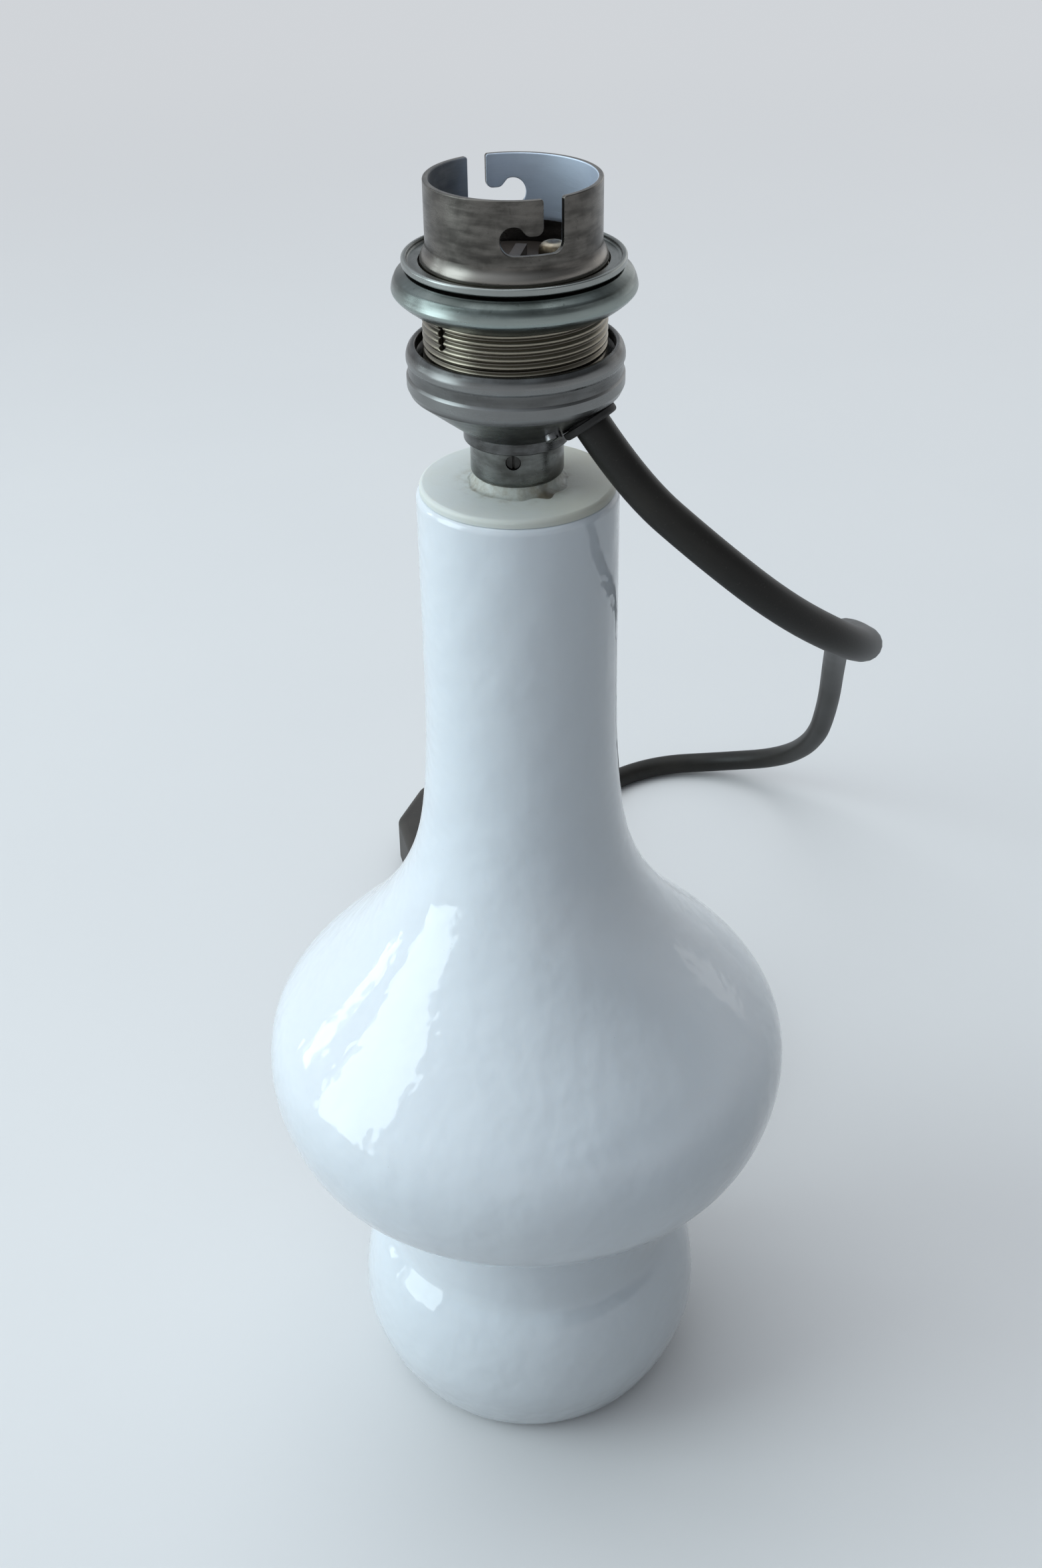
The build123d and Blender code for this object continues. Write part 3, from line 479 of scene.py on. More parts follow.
def rounded(corners, closed=True, step=12.0):
    """Points and normals along an outline whose corners are arcs.

    corners are (across, up, rounding); the material is on the left of the way along, and
    the normals point to the right, out of it.
    """
    side_share = 0.48
    table = np.array(corners, float)
    places, roundings = table[:, :2], table[:, 2]
    count = len(places)
    points, normals = [], []
    for index, here in enumerate(places):
        if not closed and index in (0, count - 1):
            other = places[1] - here if index == 0 else here - places[-2]
            way = other / np.linalg.norm(other)
            points.append(here)
            normals.append(np.array((way[1], -way[0])))
            continue
        arrive = here - places[index - 1]
        leave = places[(index + 1) % count] - here
        shorter = min(np.linalg.norm(arrive), np.linalg.norm(leave))
        arrive, leave = arrive / np.linalg.norm(arrive), leave / np.linalg.norm(leave)
        angle = math.atan2(arrive[0] * leave[1] - arrive[1] * leave[0], float(arrive @ leave))
        half = math.tan(abs(angle) / 2)
        run = min(roundings[index] * half, side_share * shorter)
        radius = run / half if half > negligible else 0.0
        first = np.array((arrive[1], -arrive[0]))
        sign = 1 if angle > 0 else -1
        centre = here - arrive * run - sign * first * radius
        pieces = max(1, math.ceil(abs(math.degrees(angle)) / step))
        for part in range(pieces + 1):
            normal = turned_vector(first, angle * part / pieces)
            points.append(centre + sign * normal * radius)
            normals.append(normal)
    return np.array(points), np.array(normals)


def lathe(name, points, normals, look, segments=192, closed=True):
    """Turn an outline of (radius, height) points about the upright axis."""
    rows, vertices, vertex_normals = [], [], []
    angles = np.arange(segments) * 2 * math.pi / segments
    for (radius, height), (out, up) in zip(points, normals):
        if radius < negligible:
            rows.append([len(vertices)] * segments)
            vertices.append((0, 0, height))
            vertex_normals.append((0, 0, math.copysign(1, up)))
            continue
        rows.append(list(range(len(vertices), len(vertices) + segments)))
        for angle in angles:
            c, s = math.cos(angle), math.sin(angle)
            vertices.append((radius * c, radius * s, height))
            vertex_normals.append((out * c, out * s, up))
    faces = []
    for index in range(len(rows) if closed else len(rows) - 1):
        low, high = rows[index], rows[(index + 1) % len(rows)]
        for column in range(segments):
            after = (column + 1) % segments
            face = list(dict.fromkeys((low[column], low[after], high[after], high[column])))
            if len(face) > 2:
                faces.append(face)
    return add_piece(name, vertices, faces, look, vertex_normals)


def turned_piece(name, corners, look, segments, step=12.0):
    """A lathe of an outline of (radius, height, rounding) corners, anticlockwise."""
    points, normals = rounded(corners, step=step)
    return lathe(name, points, normals, look, segments)


def bore(piece, centre, way, radius, length):
    """Cut a round hole through a piece."""
    sides = 48
    hole_edge_angle = math.radians(32)
    axis = Vector(way).normalized()
    across = axis.orthogonal().normalized()
    beside = axis.cross(across)
    points = []
    for end in (-length / 2, length / 2):
        for side in range(sides):
            angle = 2 * math.pi * side / sides
            out = across * math.cos(angle) + beside * math.sin(angle)
            points.append(Vector(centre) + axis * end + out * radius)
    faces = [[side, (side + 1) % sides, (side + 1) % sides + sides, side + sides] for side in range(sides)]
    faces += [list(range(sides))[::-1], list(range(sides, 2 * sides))]
    mesh = bpy.data.meshes.new("cutter")
    mesh.from_pydata([point * MM for point in points], [], faces)
    cutter = new_object("cutter", mesh)
    cut = piece.modifiers.new("bore", "BOOLEAN")
    cut.operation = "DIFFERENCE"
    cut.solver = "EXACT"
    cut.object = cutter
    result = bpy.data.meshes.new_from_object(piece.evaluated_get(bpy.context.evaluated_depsgraph_get()))
    piece.modifiers.clear()
    piece.data = result
    bpy.data.objects.remove(cutter)
    result.set_sharp_from_angle(angle=hole_edge_angle)


def smooth_step(value):
    value = np.clip(value, 0, 1)
    return value * value * (3 - 2 * value)


# Cord: one spline through the route, the coil put away behind the lamp and the tail
cord_diameter = 5.4
cord_exit = (9.029, -5.213, 193.544)
cord_route = [
    cord_exit, (15.717, -9.074, 183.715), (27.0, -12.8, 174.5), (38.5, -11.5, 164.3), (50.3, -3.8, 154.2),
    (57.0, 14.0, 144.0), (60.5, 44.0, 129.5), (64.5, 78.0, 112.0), (70.0, 109.5, 92.5), (74.5, 136.0, 71.0),
    (77.5, 154.5, 49.5), (78.0, 170.0, 29.0), (72.5, 187.5, 12.5), (57.0, 199.0, 4.2), (37.5, 200.0, 2.7),
    (21.0, 189.5, 2.7), (14.0, 171.5, 2.7), (17.0, 152.0, 2.7), (24.5, 136.5, 2.8), (33.5, 121.0, 3.1),
    (42.5, 103.5, 3.3),
]
tail_route = [
    (-40.5, 87.318, 9.2), (-36.15, 99.268, 9.2), (-33.642, 106.159, 9.2), (-31.134, 113.05, 6.85),
    (-28.626, 119.941, 6.85),
]
coil_centre = (1.0, 80.0)
coil_reach = 41.5
coil_step = 5.9
coil_half_turns = 6
climb_inset = 1.2
low_layer, high_layer = 3.3, 9.2
points_per_half_turn = 8


def coil_points():
    """Control points of the coil: in along the low layer, up, and out along the high one."""
    spacing = math.pi / points_per_half_turn
    reach, side = coil_reach, 1
    made = []
    for half_turn in range(2 * coil_half_turns + 1):
        start = reach
        way = (half_turn > coil_half_turns) - (half_turn < coil_half_turns)
        reach += way * coil_step / 2
        if abs(half_turn - coil_half_turns) == 1:
            reach += way * climb_inset
        radius = (start + reach) / 2
        middle = coil_centre[0] + side * (start - radius)
        for index in range(points_per_half_turn):
            angle = -(index + 0.5) * spacing
            height = low_layer if half_turn < coil_half_turns else high_layer
            if half_turn == coil_half_turns:
                climb = smooth_step((index + 0.5) / points_per_half_turn)
                height = low_layer + (high_layer - low_layer) * float(climb)
            out = side * radius / math.cos(spacing / 2)
            made.append((middle + out * math.cos(angle), coil_centre[1] + out * math.sin(angle), height))
        side = -side
    return made


cord_points = cord_route + coil_points() + tail_route
cord_curve = bpy.data.curves.new("mains_cord", "CURVE")
cord_curve.dimensions = "3D"
cord_curve.bevel_depth = cord_diameter / 2 * MM
cord_curve.bevel_resolution = 7
cord_curve.resolution_u = 14
cord_curve.use_fill_caps = True
cord_line = cord_curve.splines.new("NURBS")
cord_line.points.add(len(cord_points) - 1)
for control, point in zip(cord_line.points, cord_points):
    control.co = (*(value * MM for value in point), 1)
cord_line.order_u = 3
cord_line.use_endpoint_u = True
cord_line.use_smooth = True
cord_curve.materials.append(looks["cord_jacket"])
mains_cord = new_object("mains_cord", cord_curve)
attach(mains_cord, "root")
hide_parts("cord", "cord_coil", "cord_tail")

# Glass body: spline runs through foot, waist, belly and neck, and the same runs inside
rest = (22.8, 0.0)
foot = (31.2, 16.8)
waist = (25.5, 43.0)
belly = (45.0, 73.3)
neck = (15.0, 150.0)
rim_height = 179.3
glass_wall = 3.0
hollow_floor = 4.8
foot_shares = ((0.62, 0.32), (0.86, 0.62))
waist_shares = ((0.10, 0.25), (0.33, 0.42), (0.62, 0.525), (0.885, 0.595), (0.975, 0.70))
belly_shares = ((0.07, 0.14), (0.28, 0.28), (0.55, 0.42), (0.80, 0.56), (0.95, 0.77))
shoulder_shares = (
    (0.037, 0.081), (0.147, 0.151), (0.443, 0.274), (0.777, 0.442), (0.908, 0.561), (0.977, 0.726),
)


def spline_run(start, end, shares, first_way, count):
    """A cubic from start to end through a table of shares, and its normals."""
    start, end = np.array(start, float), np.array(end, float)
    points = np.array([start, *(start + np.array(share) * (end - start) for share in shares), end])
    chords = np.linalg.norm(np.diff(points, axis=0), axis=1)
    size = len(points)
    matrix, right = np.zeros((size, size)), np.zeros((size, 2))
    matrix[0, 0] = matrix[-1, -1] = 1
    right[0], right[-1] = first_way, (0, 1)
    for i in range(1, size - 1):
        before, after = chords[i - 1], chords[i]
        arriving, leaving = points[i] - points[i - 1], points[i + 1] - points[i]
        matrix[i, i - 1:i + 2] = after, 2 * (before + after), before
        right[i] = 3 * (before / after * leaving + after / before * arriving)
    slopes = np.linalg.solve(matrix, right)
    t = np.arange(count) / count
    weights = (2 * t**3 - 3 * t**2 + 1, t**3 - 2 * t**2 + t, 3 * t**2 - 2 * t**3, t**3 - t**2)
    changes = (6 * t**2 - 6 * t, 3 * t**2 - 4 * t + 1, 6 * t - 6 * t**2, 3 * t**2 - 2 * t)
    made, ways = [], []
    for i, chord in enumerate(chords):
        ends = np.stack((points[i], chord * slopes[i], points[i + 1], chord * slopes[i + 1]))
        made.append(np.transpose(weights) @ ends)
        ways.append(np.transpose(changes) @ ends)
    ways = unit(np.vstack((*ways, slopes[-1:])))
    return np.vstack((*made, points[-1:])), np.stack((ways[:, 1], -ways[:, 0]), axis=1)


def glass_run(inset, floor, count):
    """Points and normals of the glass's side, from its floor to the foot of the neck."""
    stations = [(rest[0] - inset, floor)] + [(r - inset, z) for r, z in (foot, waist, belly, neck)]
    tables = (foot_shares, waist_shares, belly_shares, shoulder_shares)
    first_ways = ((1, 0), (0, 1), (0, 1), (0, 1))
    runs = [spline_run(*run, count) for run in zip(stations, stations[1:], tables, first_ways)]
    joined = [np.concatenate([rows[:-1] for rows in side] + [side[-1][-1:]]) for side in zip(*runs)]
    return joined[0], joined[1]


punt_height = 1.8
punt_count = 10
punt_end = 18.9
rest_inner = 19.5
rest_rounding = 0.4
rim_start = 156.0
rim_outer_rounding, rim_inner_rounding = 1.1, 0.4
outside_count, inside_count = 9, 4
punt_radius = (rest_inner**2 + punt_height**2) / (2 * punt_height)
punt_across = np.linspace(0, punt_end, punt_count)
punt_up = punt_height - punt_radius + np.sqrt(punt_radius**2 - punt_across**2)
punt = np.stack((punt_across, punt_up), axis=1)
punt_normals = np.stack((-punt_across / punt_radius, -np.ones(punt_count)), axis=1)
outside, outside_normals = glass_run(0.0, 0.0, outside_count)
inside_wall, inside_normals = glass_run(glass_wall, hollow_floor, inside_count)
neck_radius, neck_bore = neck[0], neck[0] - glass_wall
rim, rim_normals = rounded([
    (neck_radius, rim_start, 0), (neck_radius, rim_height, rim_outer_rounding),
    (neck_bore, rim_height, rim_inner_rounding), (neck_bore, rim_start, 0),
], closed=False)
ring_edge, ring_edge_normals = rounded(
    [(19.0, 0.12, 0), (rest_inner, 0.0, rest_rounding), (*rest, 0)], closed=False,
)
hollow_middle = [(0.0, hollow_floor)]
glass_outline = np.concatenate((punt, ring_edge[:-1], outside, rim, inside_wall[::-1], hollow_middle))
glass_normals = unit(np.concatenate((
    punt_normals, ring_edge_normals[:-1], outside_normals, rim_normals, -inside_normals[::-1], [(0.0, 1.0)],
)))
opal_body = lathe("opal_body", glass_outline, glass_normals, "opal_glass", segments=160, closed=False)
stands_for(opal_body, "glass_body", "root")

# Ferrule with its grub screw's hole
grub_azimuth, grub_height, grub_radius = -95, 185.9, 1.1
ferrule_collar = turned_piece("ferrule_collar", [
    (5.05, 181.9, 0.05), (6.8, 181.9, 0.85), (6.8, 187.3, 0.25), (6.25, 187.3, 0.05), (6.25, 189.2, 0.1),
    (5.05, 189.2, 0.05),
], "ferrule_nickel", 128)
bore(ferrule_collar, on_side(grub_azimuth, 6, grub_height), on_side(grub_azimuth, 1, 0), grub_radius, 4.0)
stands_for(ferrule_collar, "ferrule", "root")

# Cap with the holes of the cord and the clamp screw, square to its cone
cone_way = (0.6178, -0.7863)
exit_place = (10.046, -5.8, 192.05)
exit_way = (0.5350, -0.3089, -0.7863)
exit_radius = 3.35
clamp_azimuth, clamp_radius = -62, 0.9
clamp_place = on_side(clamp_azimuth, 10.55, 191.225)
hole_length = 6.0
holder_dome = turned_piece("holder_dome", [
    (6.3, 187.3, 0.1), (7.7, 187.3, 0.25), (7.7, 189.1, 0.3), (8.1, 189.3, 0.2), (15.1, 194.8, 0.3),
    (15.5, 195.7, 0.5), (15.5, 197.1, 0.15), (15.25, 197.5, 0.2), (15.25, 199.0, 0.2), (15.5, 199.4, 0.3),
    (15.5, 200.1, 1.2), (15.22, 200.95, 1.4), (14.7, 201.55, 0.5), (14.1, 201.55, 0.35), (14.1, 200.1, 0.2),
    (13.05, 199.05, 0.1), (13.05, 196.1, 0.05), (12.3, 196.1, 0.1), (12.3, 194.94, 0.2), (6.9, 190.7, 0.2),
    (5.05, 190.7, 0.1), (5.05, 189.3, 0.05), (6.3, 189.3, 0.05),
], "cap_nickel", 160)
bore(holder_dome, exit_place, exit_way, exit_radius, hole_length)
bore(holder_dome, clamp_place, on_side(clamp_azimuth, *cone_way), clamp_radius, hole_length)
stands_for(holder_dome, "holder_cap", "root")

# Rubber grommet of the cord, turned about the cap's slope
cord_grommet = turned_piece("cord_grommet", [
    (2.72, -1.95, 0.1), (3.28, -1.95, 0.2), (3.28, 0.03, 0.03), (4.2, 0.03, 0.1), (4.2, 1.1, 0.5),
    (2.72, 1.1, 0.3),
], "black_rubber", 64)
lean = Vector((0, 0, 1)).rotation_difference(Vector(exit_way)).to_matrix().to_4x4()
cord_grommet.data.transform(Matrix.Translation(Vector(exit_place) * MM) @ lean)
stands_for(cord_grommet, "cord_bush", "root")

# Shade rings
lower_ring = turned_piece("lower_ring_turned", [
    (13.2, 207.3, 0.15), (14.6, 207.3, 0.2), (15.11, 207.6, 0.8), (15.9, 208.19, 2.0), (16.59, 208.79, 2.0),
    (17.15, 209.43, 0.7), (16.895, 210.52, 2.0), (16.51, 211.41, 0.9), (15.39, 212.1, 0.4),
    (15.21, 212.25, 0.2), (13.2, 212.25, 0.15),
], "ring_nickel", 192, step=6.0)
stands_for(lower_ring, "lower_shade_ring", "lower_ring")
upper_ring = turned_piece("upper_ring_turned", [
    (13.2, 212.55, 0.1), (14.95, 212.55, 0.3), (15.55, 212.95, 0.35), (15.55, 213.9, 0.3),
    (14.8, 213.9, 0.25), (14.8, 213.3, 0.3), (13.2, 213.3, 0.1),
], "dish_nickel", 192)
stands_for(upper_ring, "upper_shade_ring", "upper_ring")

# Shell: the wall is laid out flat, cut, given rounded edges and a thread, and rolled up
flat_radius = 12.2
sleeve_radius, barrel_inset, sleeve_wall = 13.0, 0.8, 0.8
shell_foot, sleeve_top, barrel_foot, shell_top = 196.1, 213.5, 215.7, 224.34
thread_pitch, thread_depth, thread_sharpness = 1.1, 0.42, 1.3
thread_start, thread_end, thread_fade = 198.6, 213.2, 0.5
seam_azimuth = -10.0
slot_azimuths = (116.0, 296.0)
slit_azimuths = (38.0, 218.0)
slot_half_width = 1.5
slot_bottom, arm_top = 217.1, 219.6
slot_turn = math.radians(26) * flat_radius
lip_rounding, arm_rounding, hook_rounding = 0.4, 1.05, 1.1
notch_radius, hook_sweep = 1.9, 45
slit_half_width, slit_low, slit_high = 0.52, 203.1, 210.0
edge_rounding = 0.18
edge_shares = (1.0, 0.85, 0.5, 0.0)
hook_step, slot_step, slit_step, corner_step = 7.5, 9, 15, 15
top_spacing, slit_spacing = 0.45, 0.11


def laid_out(azimuth):
    return math.radians(azimuth) * flat_radius


def arc_points(centre, radius, first, last, step):
    count = max(1, round(abs(last - first) / step))
    angles = np.radians(np.linspace(first, last, count + 1))
    return [(centre[0] + radius * math.cos(a), centre[1] + radius * math.sin(a), 0.0) for a in angles]


def divided(points, normals, step):
    """Split long straight stretches, so that they bend with the wall."""
    rows = np.hstack((points, normals))
    made = [rows[0]]
    for before, after in zip(rows, rows[1:]):
        count = max(1, math.ceil(np.linalg.norm(after[:2] - before[:2]) / step))
        made += [before + part / count * (after - before) for part in range(1, count + 1)]
    made = np.array(made)
    return made[:, :2], unit(made[:, 2:])


def without_repeats(points, normals):
    keep = np.concatenate(([True], np.linalg.norm(np.diff(points, axis=0), axis=1) > same_place))
    return points[keep], normals[keep]


left_seam, right_seam = laid_out(seam_azimuth), laid_out(seam_azimuth + 360)


def top_edge():
    """The barrel's rim with the two slots in it, from the left seam to the right one."""
    corners = [(left_seam, shell_top, 0.0)]
    for azimuth in slot_azimuths:
        middle = laid_out(azimuth)
        notch = (middle - slot_turn, slot_bottom + notch_radius)
        rise = arm_top - notch[1]
        reach = math.sqrt(notch_radius**2 - rise**2)
        corners += [
            (middle - slot_half_width, shell_top, lip_rounding),
            (middle - slot_half_width, arm_top, arm_rounding),
            (notch[0] + reach, arm_top, hook_rounding),
        ]
        meeting = math.degrees(math.asin(rise / notch_radius))
        corners += arc_points(notch, notch_radius, meeting + hook_sweep, 270, hook_step)
        end = (middle, slot_bottom + slot_half_width)
        corners += arc_points(end, slot_half_width, 270, 360, slot_step)
        corners.append((middle + slot_half_width, shell_top, lip_rounding))
    corners.append((right_seam, shell_top, 0.0))
    return corners


def slit_edge(azimuth):
    """A slit in the sleeve, as a ring of points with the metal on the left."""
    middle = laid_out(azimuth)
    ring = arc_points((middle, slit_high - slit_half_width), slit_half_width, 180, 0, slit_step)
    low = (middle, slit_low + slit_half_width)
    return ring + arc_points(low, slit_half_width, 0, -180, slit_step)


def shell_radius(turned, height, outer):
    """Radius of the shell's outside or inside at a place on the laid-out wall."""
    radius = sleeve_radius - barrel_inset * smooth_step((height - sleeve_top) / (barrel_foot - sleeve_top))
    if not outer:
        return radius - sleeve_wall
    phase = (height / thread_pitch - turned / (2 * math.pi * flat_radius)) * 2 * math.pi
    groove = (0.5 - 0.5 * np.cos(phase)) ** thread_sharpness
    start, end = (height - thread_start) / thread_fade, (thread_end - height) / thread_fade
    return radius - thread_depth * groove * (smooth_step(end) * smooth_step(start))


def inside_of(points, polygon):
    """Which points lie inside a closed polygon."""
    x, y = points[:, :1], points[:, 1:]
    start, end = polygon, np.roll(polygon, -1, axis=0)
    crosses = (start[:, 1] > y) != (end[:, 1] > y)
    rise = np.where(end[:, 1] == start[:, 1], 1.0, end[:, 1] - start[:, 1])
    meets = start[:, 0] + (y - start[:, 1]) / rise * (end[:, 0] - start[:, 0])
    return np.sum(crosses & (x < meets), axis=1) % 2 == 1


top_points, top_normals = divided(
    *without_repeats(*rounded(top_edge()[::-1], closed=False, step=corner_step)), step=top_spacing,
)
foot_count = 121
foot_across = np.linspace(left_seam, right_seam, foot_count)
foot_points = np.stack((foot_across, np.full(foot_count, shell_foot)), axis=1)
foot_normals = np.tile((0.0, -1.0), (foot_count, 1))
slits = []
for azimuth in slit_azimuths:
    ring = without_repeats(*rounded(slit_edge(azimuth), step=corner_step))
    ring = divided(*(np.vstack((rows, rows[:1])) for rows in ring), step=slit_spacing)
    slits.append((ring[0][:-1], ring[1][:-1]))
grid_gap = 0.3
grid_top = shell_top - 0.4
thread_row = thread_pitch / 10
batch_size = 2000
metal_outline = np.vstack((foot_points, top_points))
edges_all = np.vstack([top_points, *(ring for ring, _ in slits)])


def in_metal(points, clearance):
    """Which points lie in the laid-out wall, at least a clearance from its cut edges."""
    keep = inside_of(points, metal_outline)
    for ring, _ in slits:
        keep &= ~inside_of(points, ring)
    if clearance:
        for first in range(0, len(points), batch_size):
            batch = slice(first, first + batch_size)
            gaps = np.linalg.norm(points[batch, None] - edges_all[None], axis=2).min(axis=1)
            keep[batch] &= gaps > clearance
    return keep


def grid_spans(outer):
    """Heights of the grid's rows, in spans, and whether each span climbs with the thread."""
    if not outer:
        heights = (
            np.arange(shell_foot + 1, sleeve_top - 0.5, 1.5), np.arange(sleeve_top - 0.2, grid_top, 0.5),
        )
        return [(np.concatenate(heights), False)]
    return [
        (np.arange(thread_start - 1.2, thread_end + 0.6, thread_row), True),
        (np.arange(shell_foot + 0.5, thread_start - 1.3, 0.6), False),
        (np.arange(thread_end + 0.7, grid_top, 0.45), False),
    ]


def wall_surface(outer):
    """One side of the wall: flat places, edge shares, edge ways, triangles and edge rings."""
    places, shares, ways, rings = [], [], [], []

    def add(points, share, normals):
        first = len(places)
        places.extend(map(tuple, points))
        shares.extend([share] * len(points))
        ways.extend(map(tuple, normals))
        return list(range(first, len(places)))

    constraints = []
    edges = [(top_points, top_normals, False), *((*slit, True) for slit in slits)]
    for points, normals, closed in edges:
        for share in edge_shares:
            ring = add(points - normals * edge_rounding * (1 - share), share, normals)
            if share == 1.0:
                rings.append((ring, closed))
                constraints += list(zip(ring, ring[1:] + (ring[:1] if closed else [])))
    rings.append((add(foot_points, 0.0, foot_normals), False))
    columns = 120 if outer else 72
    for heights, sheared in grid_spans(outer):
        grid = []
        for column in range(columns + 1):
            share = column / columns
            lean = (thread_pitch * share) % thread_row if sheared else 0.0
            for height in heights:
                if height + lean <= heights[-1] + 1e-9:
                    grid.append((left_seam + share * (right_seam - left_seam), height + lean))
        grid = np.array(grid)
        probe = np.clip(grid, (left_seam + same_place, 0), (right_seam - same_place, shell_top))
        on_seam = (probe[:, 0] != grid[:, 0]) & (grid[:, 1] < grid_top)
        grid = grid[in_metal(probe, grid_gap) | on_seam]
        add(grid, 0.0, np.zeros((len(grid), 2)))
    places = [Vector(p) for p in places]
    flat, _, triangles, origins, _, _ = delaunay_2d_cdt(places, constraints, [], 0, 1e-7)
    flat = np.array([tuple(p) for p in flat])
    source = [origin[0] for origin in origins]
    new_index = {given: index for index, origin in enumerate(origins) for given in origin}
    triangles = np.array(triangles)
    triangles = triangles[in_metal(flat[triangles].mean(axis=1), 0.0)]
    return (
        flat, np.array(shares)[source], np.array(ways)[source], triangles,
        [([new_index[i] for i in ring], closed) for ring, closed in rings],
    )


def rolled(flat, shares, ways, outer):
    """Places and normals in space of one side of the wall."""
    sign = 1 if outer else -1
    turned, height = flat[:, 0], flat[:, 1]
    radius = shell_radius(turned, height, outer)
    radius = radius - sign * edge_rounding * (1 - np.sqrt(1 - shares**2))
    angle = turned / flat_radius
    c, s = np.cos(angle), np.sin(angle)
    points = np.stack((radius * c, radius * s, height), axis=1)
    out = np.stack((c, s, np.zeros_like(c)), axis=1)
    along = np.stack((-s, c, np.zeros_like(c)), axis=1)
    up = np.array((0.0, 0.0, 1.0))
    tiny = same_place
    higher, lower = (shell_radius(turned, height + step, outer) for step in (tiny, -tiny))
    after, before = (shell_radius(turned + step, height, outer) for step in (tiny, -tiny))
    by_height, by_turn = (higher - lower) / (2 * tiny), (after - before) / (2 * tiny)
    face = unit(sign * (out - by_turn[:, None] * along - by_height[:, None] * up))
    edge = ways[:, :1] * along + ways[:, 1:] * up
    return points, unit(np.sqrt(1 - shares**2)[:, None] * face + shares[:, None] * edge)


def seam_joined(flat, triangles, rings):
    """Send the places on the right seam to those at the same height on the left one."""
    left = {round(z, 4): i for i, (x, z) in enumerate(flat) if abs(x - left_seam) < same_place}
    sent = list(range(len(flat)))
    for index, (x, z) in enumerate(flat):
        if abs(x - right_seam) < same_place:
            sent[index] = left.get(round(z, 4), index)
    return np.array(sent)[triangles], [([sent[i] for i in ring], closed) for ring, closed in rings]


shell_points, shell_normals, shell_faces, side_rings = [], [], [], []
for outer in (True, False):
    flat, shares, ways, triangles, rings = wall_surface(outer)
    triangles, rings = seam_joined(flat, triangles, rings)
    first = sum(map(len, shell_points))
    points, normals = rolled(flat, shares, ways, outer)
    shell_points.append(points)
    shell_normals.append(normals)
    shell_faces += (first + (triangles if outer else triangles[:, [0, 2, 1]])).tolist()
    side_rings.append([([first + i for i in ring], closed) for ring, closed in rings])
for (outer_ring, closed), (inner_ring, _) in zip(*side_rings):
    for index in range(len(outer_ring) if closed else len(outer_ring) - 1):
        after = (index + 1) % len(outer_ring)
        shell_faces.append([outer_ring[index], inner_ring[index], inner_ring[after], outer_ring[after]])
shell_points = np.concatenate(shell_points)
used = np.zeros(len(shell_points), bool)
for face in shell_faces:
    used[face] = True
renumbered = np.cumsum(used) - 1
shell_faces = [renumbered[face].tolist() for face in shell_faces]
shell_normals = np.concatenate(shell_normals)[used]
shell_points = shell_points[used]
threaded_shell = add_piece("threaded_shell", shell_points, shell_faces, "barrel_nickel", shell_normals)
stands_for(threaded_shell, "bayonet_shell", "root")

# Springs under the contacts
spring_foot, spring_length, spring_radius = 200.7, 8.4, 2.3
spring_turns, spring_steps = 5, 120
wire_radius, wire_sides = 0.2, 10
corner_angle = math.radians(60)

for letter, azimuth in (("a", contact_azimuth), ("b", contact_azimuth + 180)):
    middle = np.array(on_side(azimuth, contact_offset, spring_foot + wire_radius))
    points = []
    for step in range(spring_steps + 1):
        share = step / spring_steps
        height = (spring_length - 2 * wire_radius) * share
        for side in range(wire_sides):
            out, up = on_side(360 * side / wire_sides, wire_radius, 0)[:2]
            points.append(middle + on_side(360 * spring_turns * share, spring_radius + out, height + up))
    faces = skin(spring_steps + 1, wire_sides)
    faces += [list(range(wire_sides)), list(range(spring_steps * wire_sides, len(points)))[::-1]]
    spring = add_piece(f"contact_spring_{letter}", points, faces, "zinc_steel")
    spring.data.set_sharp_from_angle(angle=corner_angle)
    stands_for(spring, f"plunger_spring_{letter}", "root")
    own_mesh(spring)

# Glue: an uneven fillet round the ferrule, with lumps (azimuth, width, reach, rise) where it ran out
glue_lumps = (
    (-57, 7, 0.95, 0.10), (-84, 9, 0.55, 0.06), (-30, 14, 0.5, 0.08), (-140, 22, 0.4, 0.05),
    (70, 25, 0.5, 0.08),
)
glue_columns = 180
glue_foot, glue_top, glue_highest = 180.5, 181.9, 182.25
glue_bore, glue_waist, glue_reach = 5.1, 6.3, 7.35
least_rise = 0.05
wave, wave_scale = 0.40, 2.2
ripple, ripple_scale = 0.12, 6.0
grain, grain_scale = 0.05, 0.8
glue_points = []
for column in range(glue_columns):
    azimuth = 360 * column / glue_columns
    around = Vector(on_side(azimuth, 1, 0))
    reach = glue_reach + wave * noise.noise(around * wave_scale)
    reach += ripple * noise.noise(around * ripple_scale)
    lift = 0.0
    for middle, width, wide, tall in glue_lumps:
        away = (azimuth - middle + 180) % 360 - 180
        weight = math.exp(-(away / width) ** 2)
        reach += wide * weight
        lift += tall * weight
    section = [(glue_bore, glue_foot), (reach, glue_foot)]
    for share in np.linspace(0.04, 1, 8):
        radius = reach + (glue_waist - reach) * share
        rise = (glue_top - glue_foot) * share ** 3 + lift * 4 * share * (1 - share)
        if share < 1:
            rise += grain * noise.noise(around * radius * grain_scale)
        section.append((radius, min(glue_foot + max(least_rise, rise), glue_highest)))
    section.append((glue_bore, glue_top))
    glue_points += [on_side(azimuth, *corner) for corner in section]
glue_faces = skin(glue_columns, len(glue_points) // glue_columns, closed=True)
glue_fillet = add_piece("glue_fillet", glue_points, glue_faces, "glue")
glue_fillet.data.set_sharp_from_angle(angle=corner_angle)
stands_for(glue_fillet, "glue_bead", "root")

# Floor and background, pale where they are seen, with little light of their own

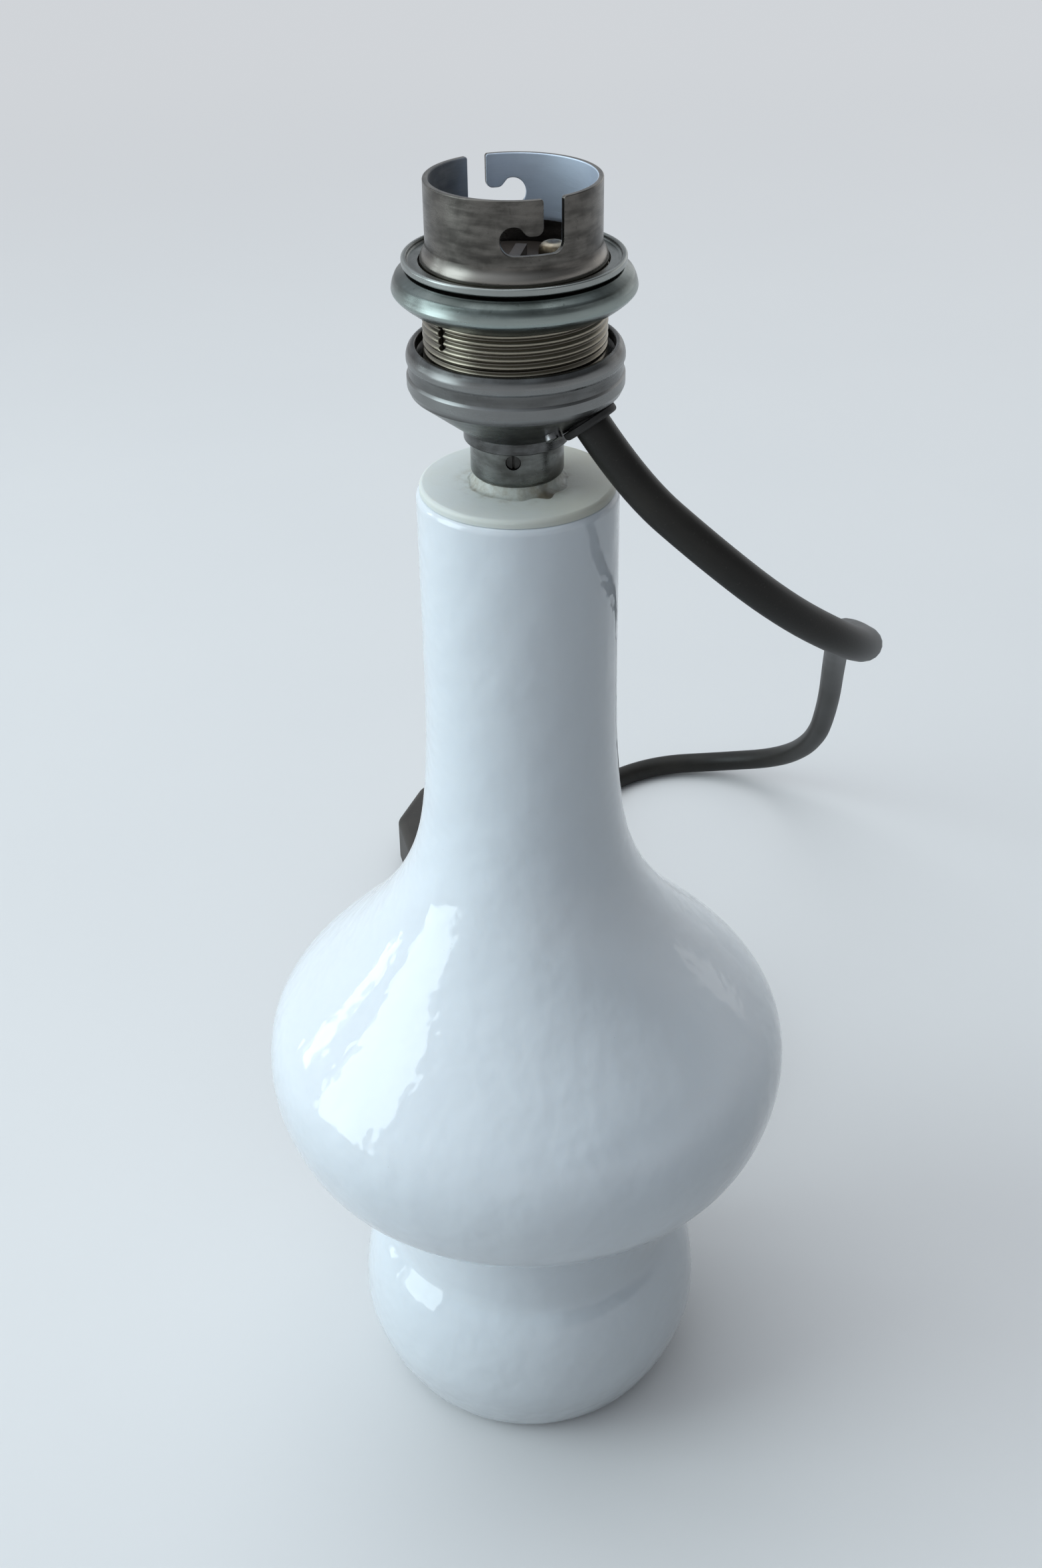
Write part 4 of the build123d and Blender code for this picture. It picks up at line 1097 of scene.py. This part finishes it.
def looked_at(tree):
    """1 for the camera and for what metal and glass show, 0 for the light that falls on things."""
    ray = new_node(tree, "LightPath").outputs
    seen = plus(ray["Is Camera Ray"], ray["Is Glossy Ray"])
    return maths("ADD", seen, ray["Is Transmission Ray"], clamp=True)


floor_size = 12.0
fade_start, fade_end = 0.30, 1.15
far_colour = (0.635, 0.66, 0.69)
unseen_grey = (0.36, 0.36, 0.36)
floor_mesh = bpy.data.meshes.new("floor")
floor_corners = [(x * floor_size, y * floor_size, 0) for x, y in ((-1, -1), (1, -1), (1, 1), (-1, 1))]
floor_mesh.from_pydata(floor_corners, [], [(0, 1, 2, 3)])
floor = new_object("floor", floor_mesh)
floor_look, at = new_material("floor", Roughness=0.75)
tree = floor_look.node_tree
seen = looked_at(tree)
mottle = blend(cloud(at, 9, 4.0), (0.735, 0.735, 0.735), (0.77, 0.768, 0.765))
floor_colour = blend(seen, unseen_grey, mottle)
shader = feed_by_name(tree.nodes["Principled BSDF"], Base_Color=floor_colour)
afar = spread(vector_maths("LENGTH", at), fade_start, fade_end)
glow = new_node(tree, "Emission", Color=(*far_colour, 1))
fading = new_node(tree, "MixShader")
for socket, given in zip(fading.inputs, (times(afar, seen), shader.outputs[0], glow.outputs[0])):
    feed(socket, given)
feed_by_name(tree.nodes["Material Output"], Surface=fading.outputs[0])
floor_mesh.materials.append(floor_look)

# Light: two tall soft panes on the left, a wide soft light above and a dim one on the right
lamp_middle = Vector((0, 0, 0.11))
pane_colour = (0.81, 0.955, 1.0)


def soft_light(name, azimuth, elevation, distance, width, height, power, colour, tilt=0.0):
    """An area light that faces the middle of the lamp, turned in its own plane by tilt."""
    data = bpy.data.lights.new(name, "AREA")
    data.shape = "RECTANGLE"
    data.size, data.size_y = width, height
    data.energy = power
    data.color = colour
    light = new_object(name, data)
    slope = math.radians(elevation)
    away = Vector(on_side(azimuth, math.cos(slope), math.sin(slope)))
    light.location = lamp_middle + away * distance
    facing = (-away).to_track_quat("-Z", "Y")
    light.rotation_euler = (facing @ Quaternion((0, 0, 1), math.radians(tilt))).to_euler()
    light.visible_camera = False


soft_light("pane_near", -169.5, 21, 1.20, 0.66, 1.12, 7.7, pane_colour, tilt=5)
soft_light("pane_far", 160, 11, 1.20, 0.15, 0.42, 0.6, pane_colour)
soft_light("overhead", 120, 72, 1.30, 1.20, 1.20, 4.7, (0.95, 0.98, 1.0))
soft_light("right_fill", 52, 20, 0.90, 0.80, 0.62, 0.6, (1.0, 0.98, 0.95))

# World: dark on the right, bright towards the panes, pale near the horizon
pane_way = (-0.88, 0.10, 0.46)
band_low, band_high = 0.22, 0.46
world = bpy.data.worlds.new("studio")
world.use_nodes = True
scene.world = world
tree = world.node_tree
way = new_node(tree, "TexCoord").outputs["Generated"]
facing = spread(vector_maths("DOT_PRODUCT", way, pane_way), -0.75, 0.85)
sky = blend(facing, (0.05, 0.052, 0.056), (0.74, 0.81, 0.88))
steepness = maths("ABSOLUTE", parts_of(way)[2])
pale_band = times(spread(steepness, band_low, band_high, 1.0, 0.0), looked_at(tree))
feed_by_name(tree.nodes["Background"], Color=blend(pale_band, sky, far_colour), Strength=1.0)
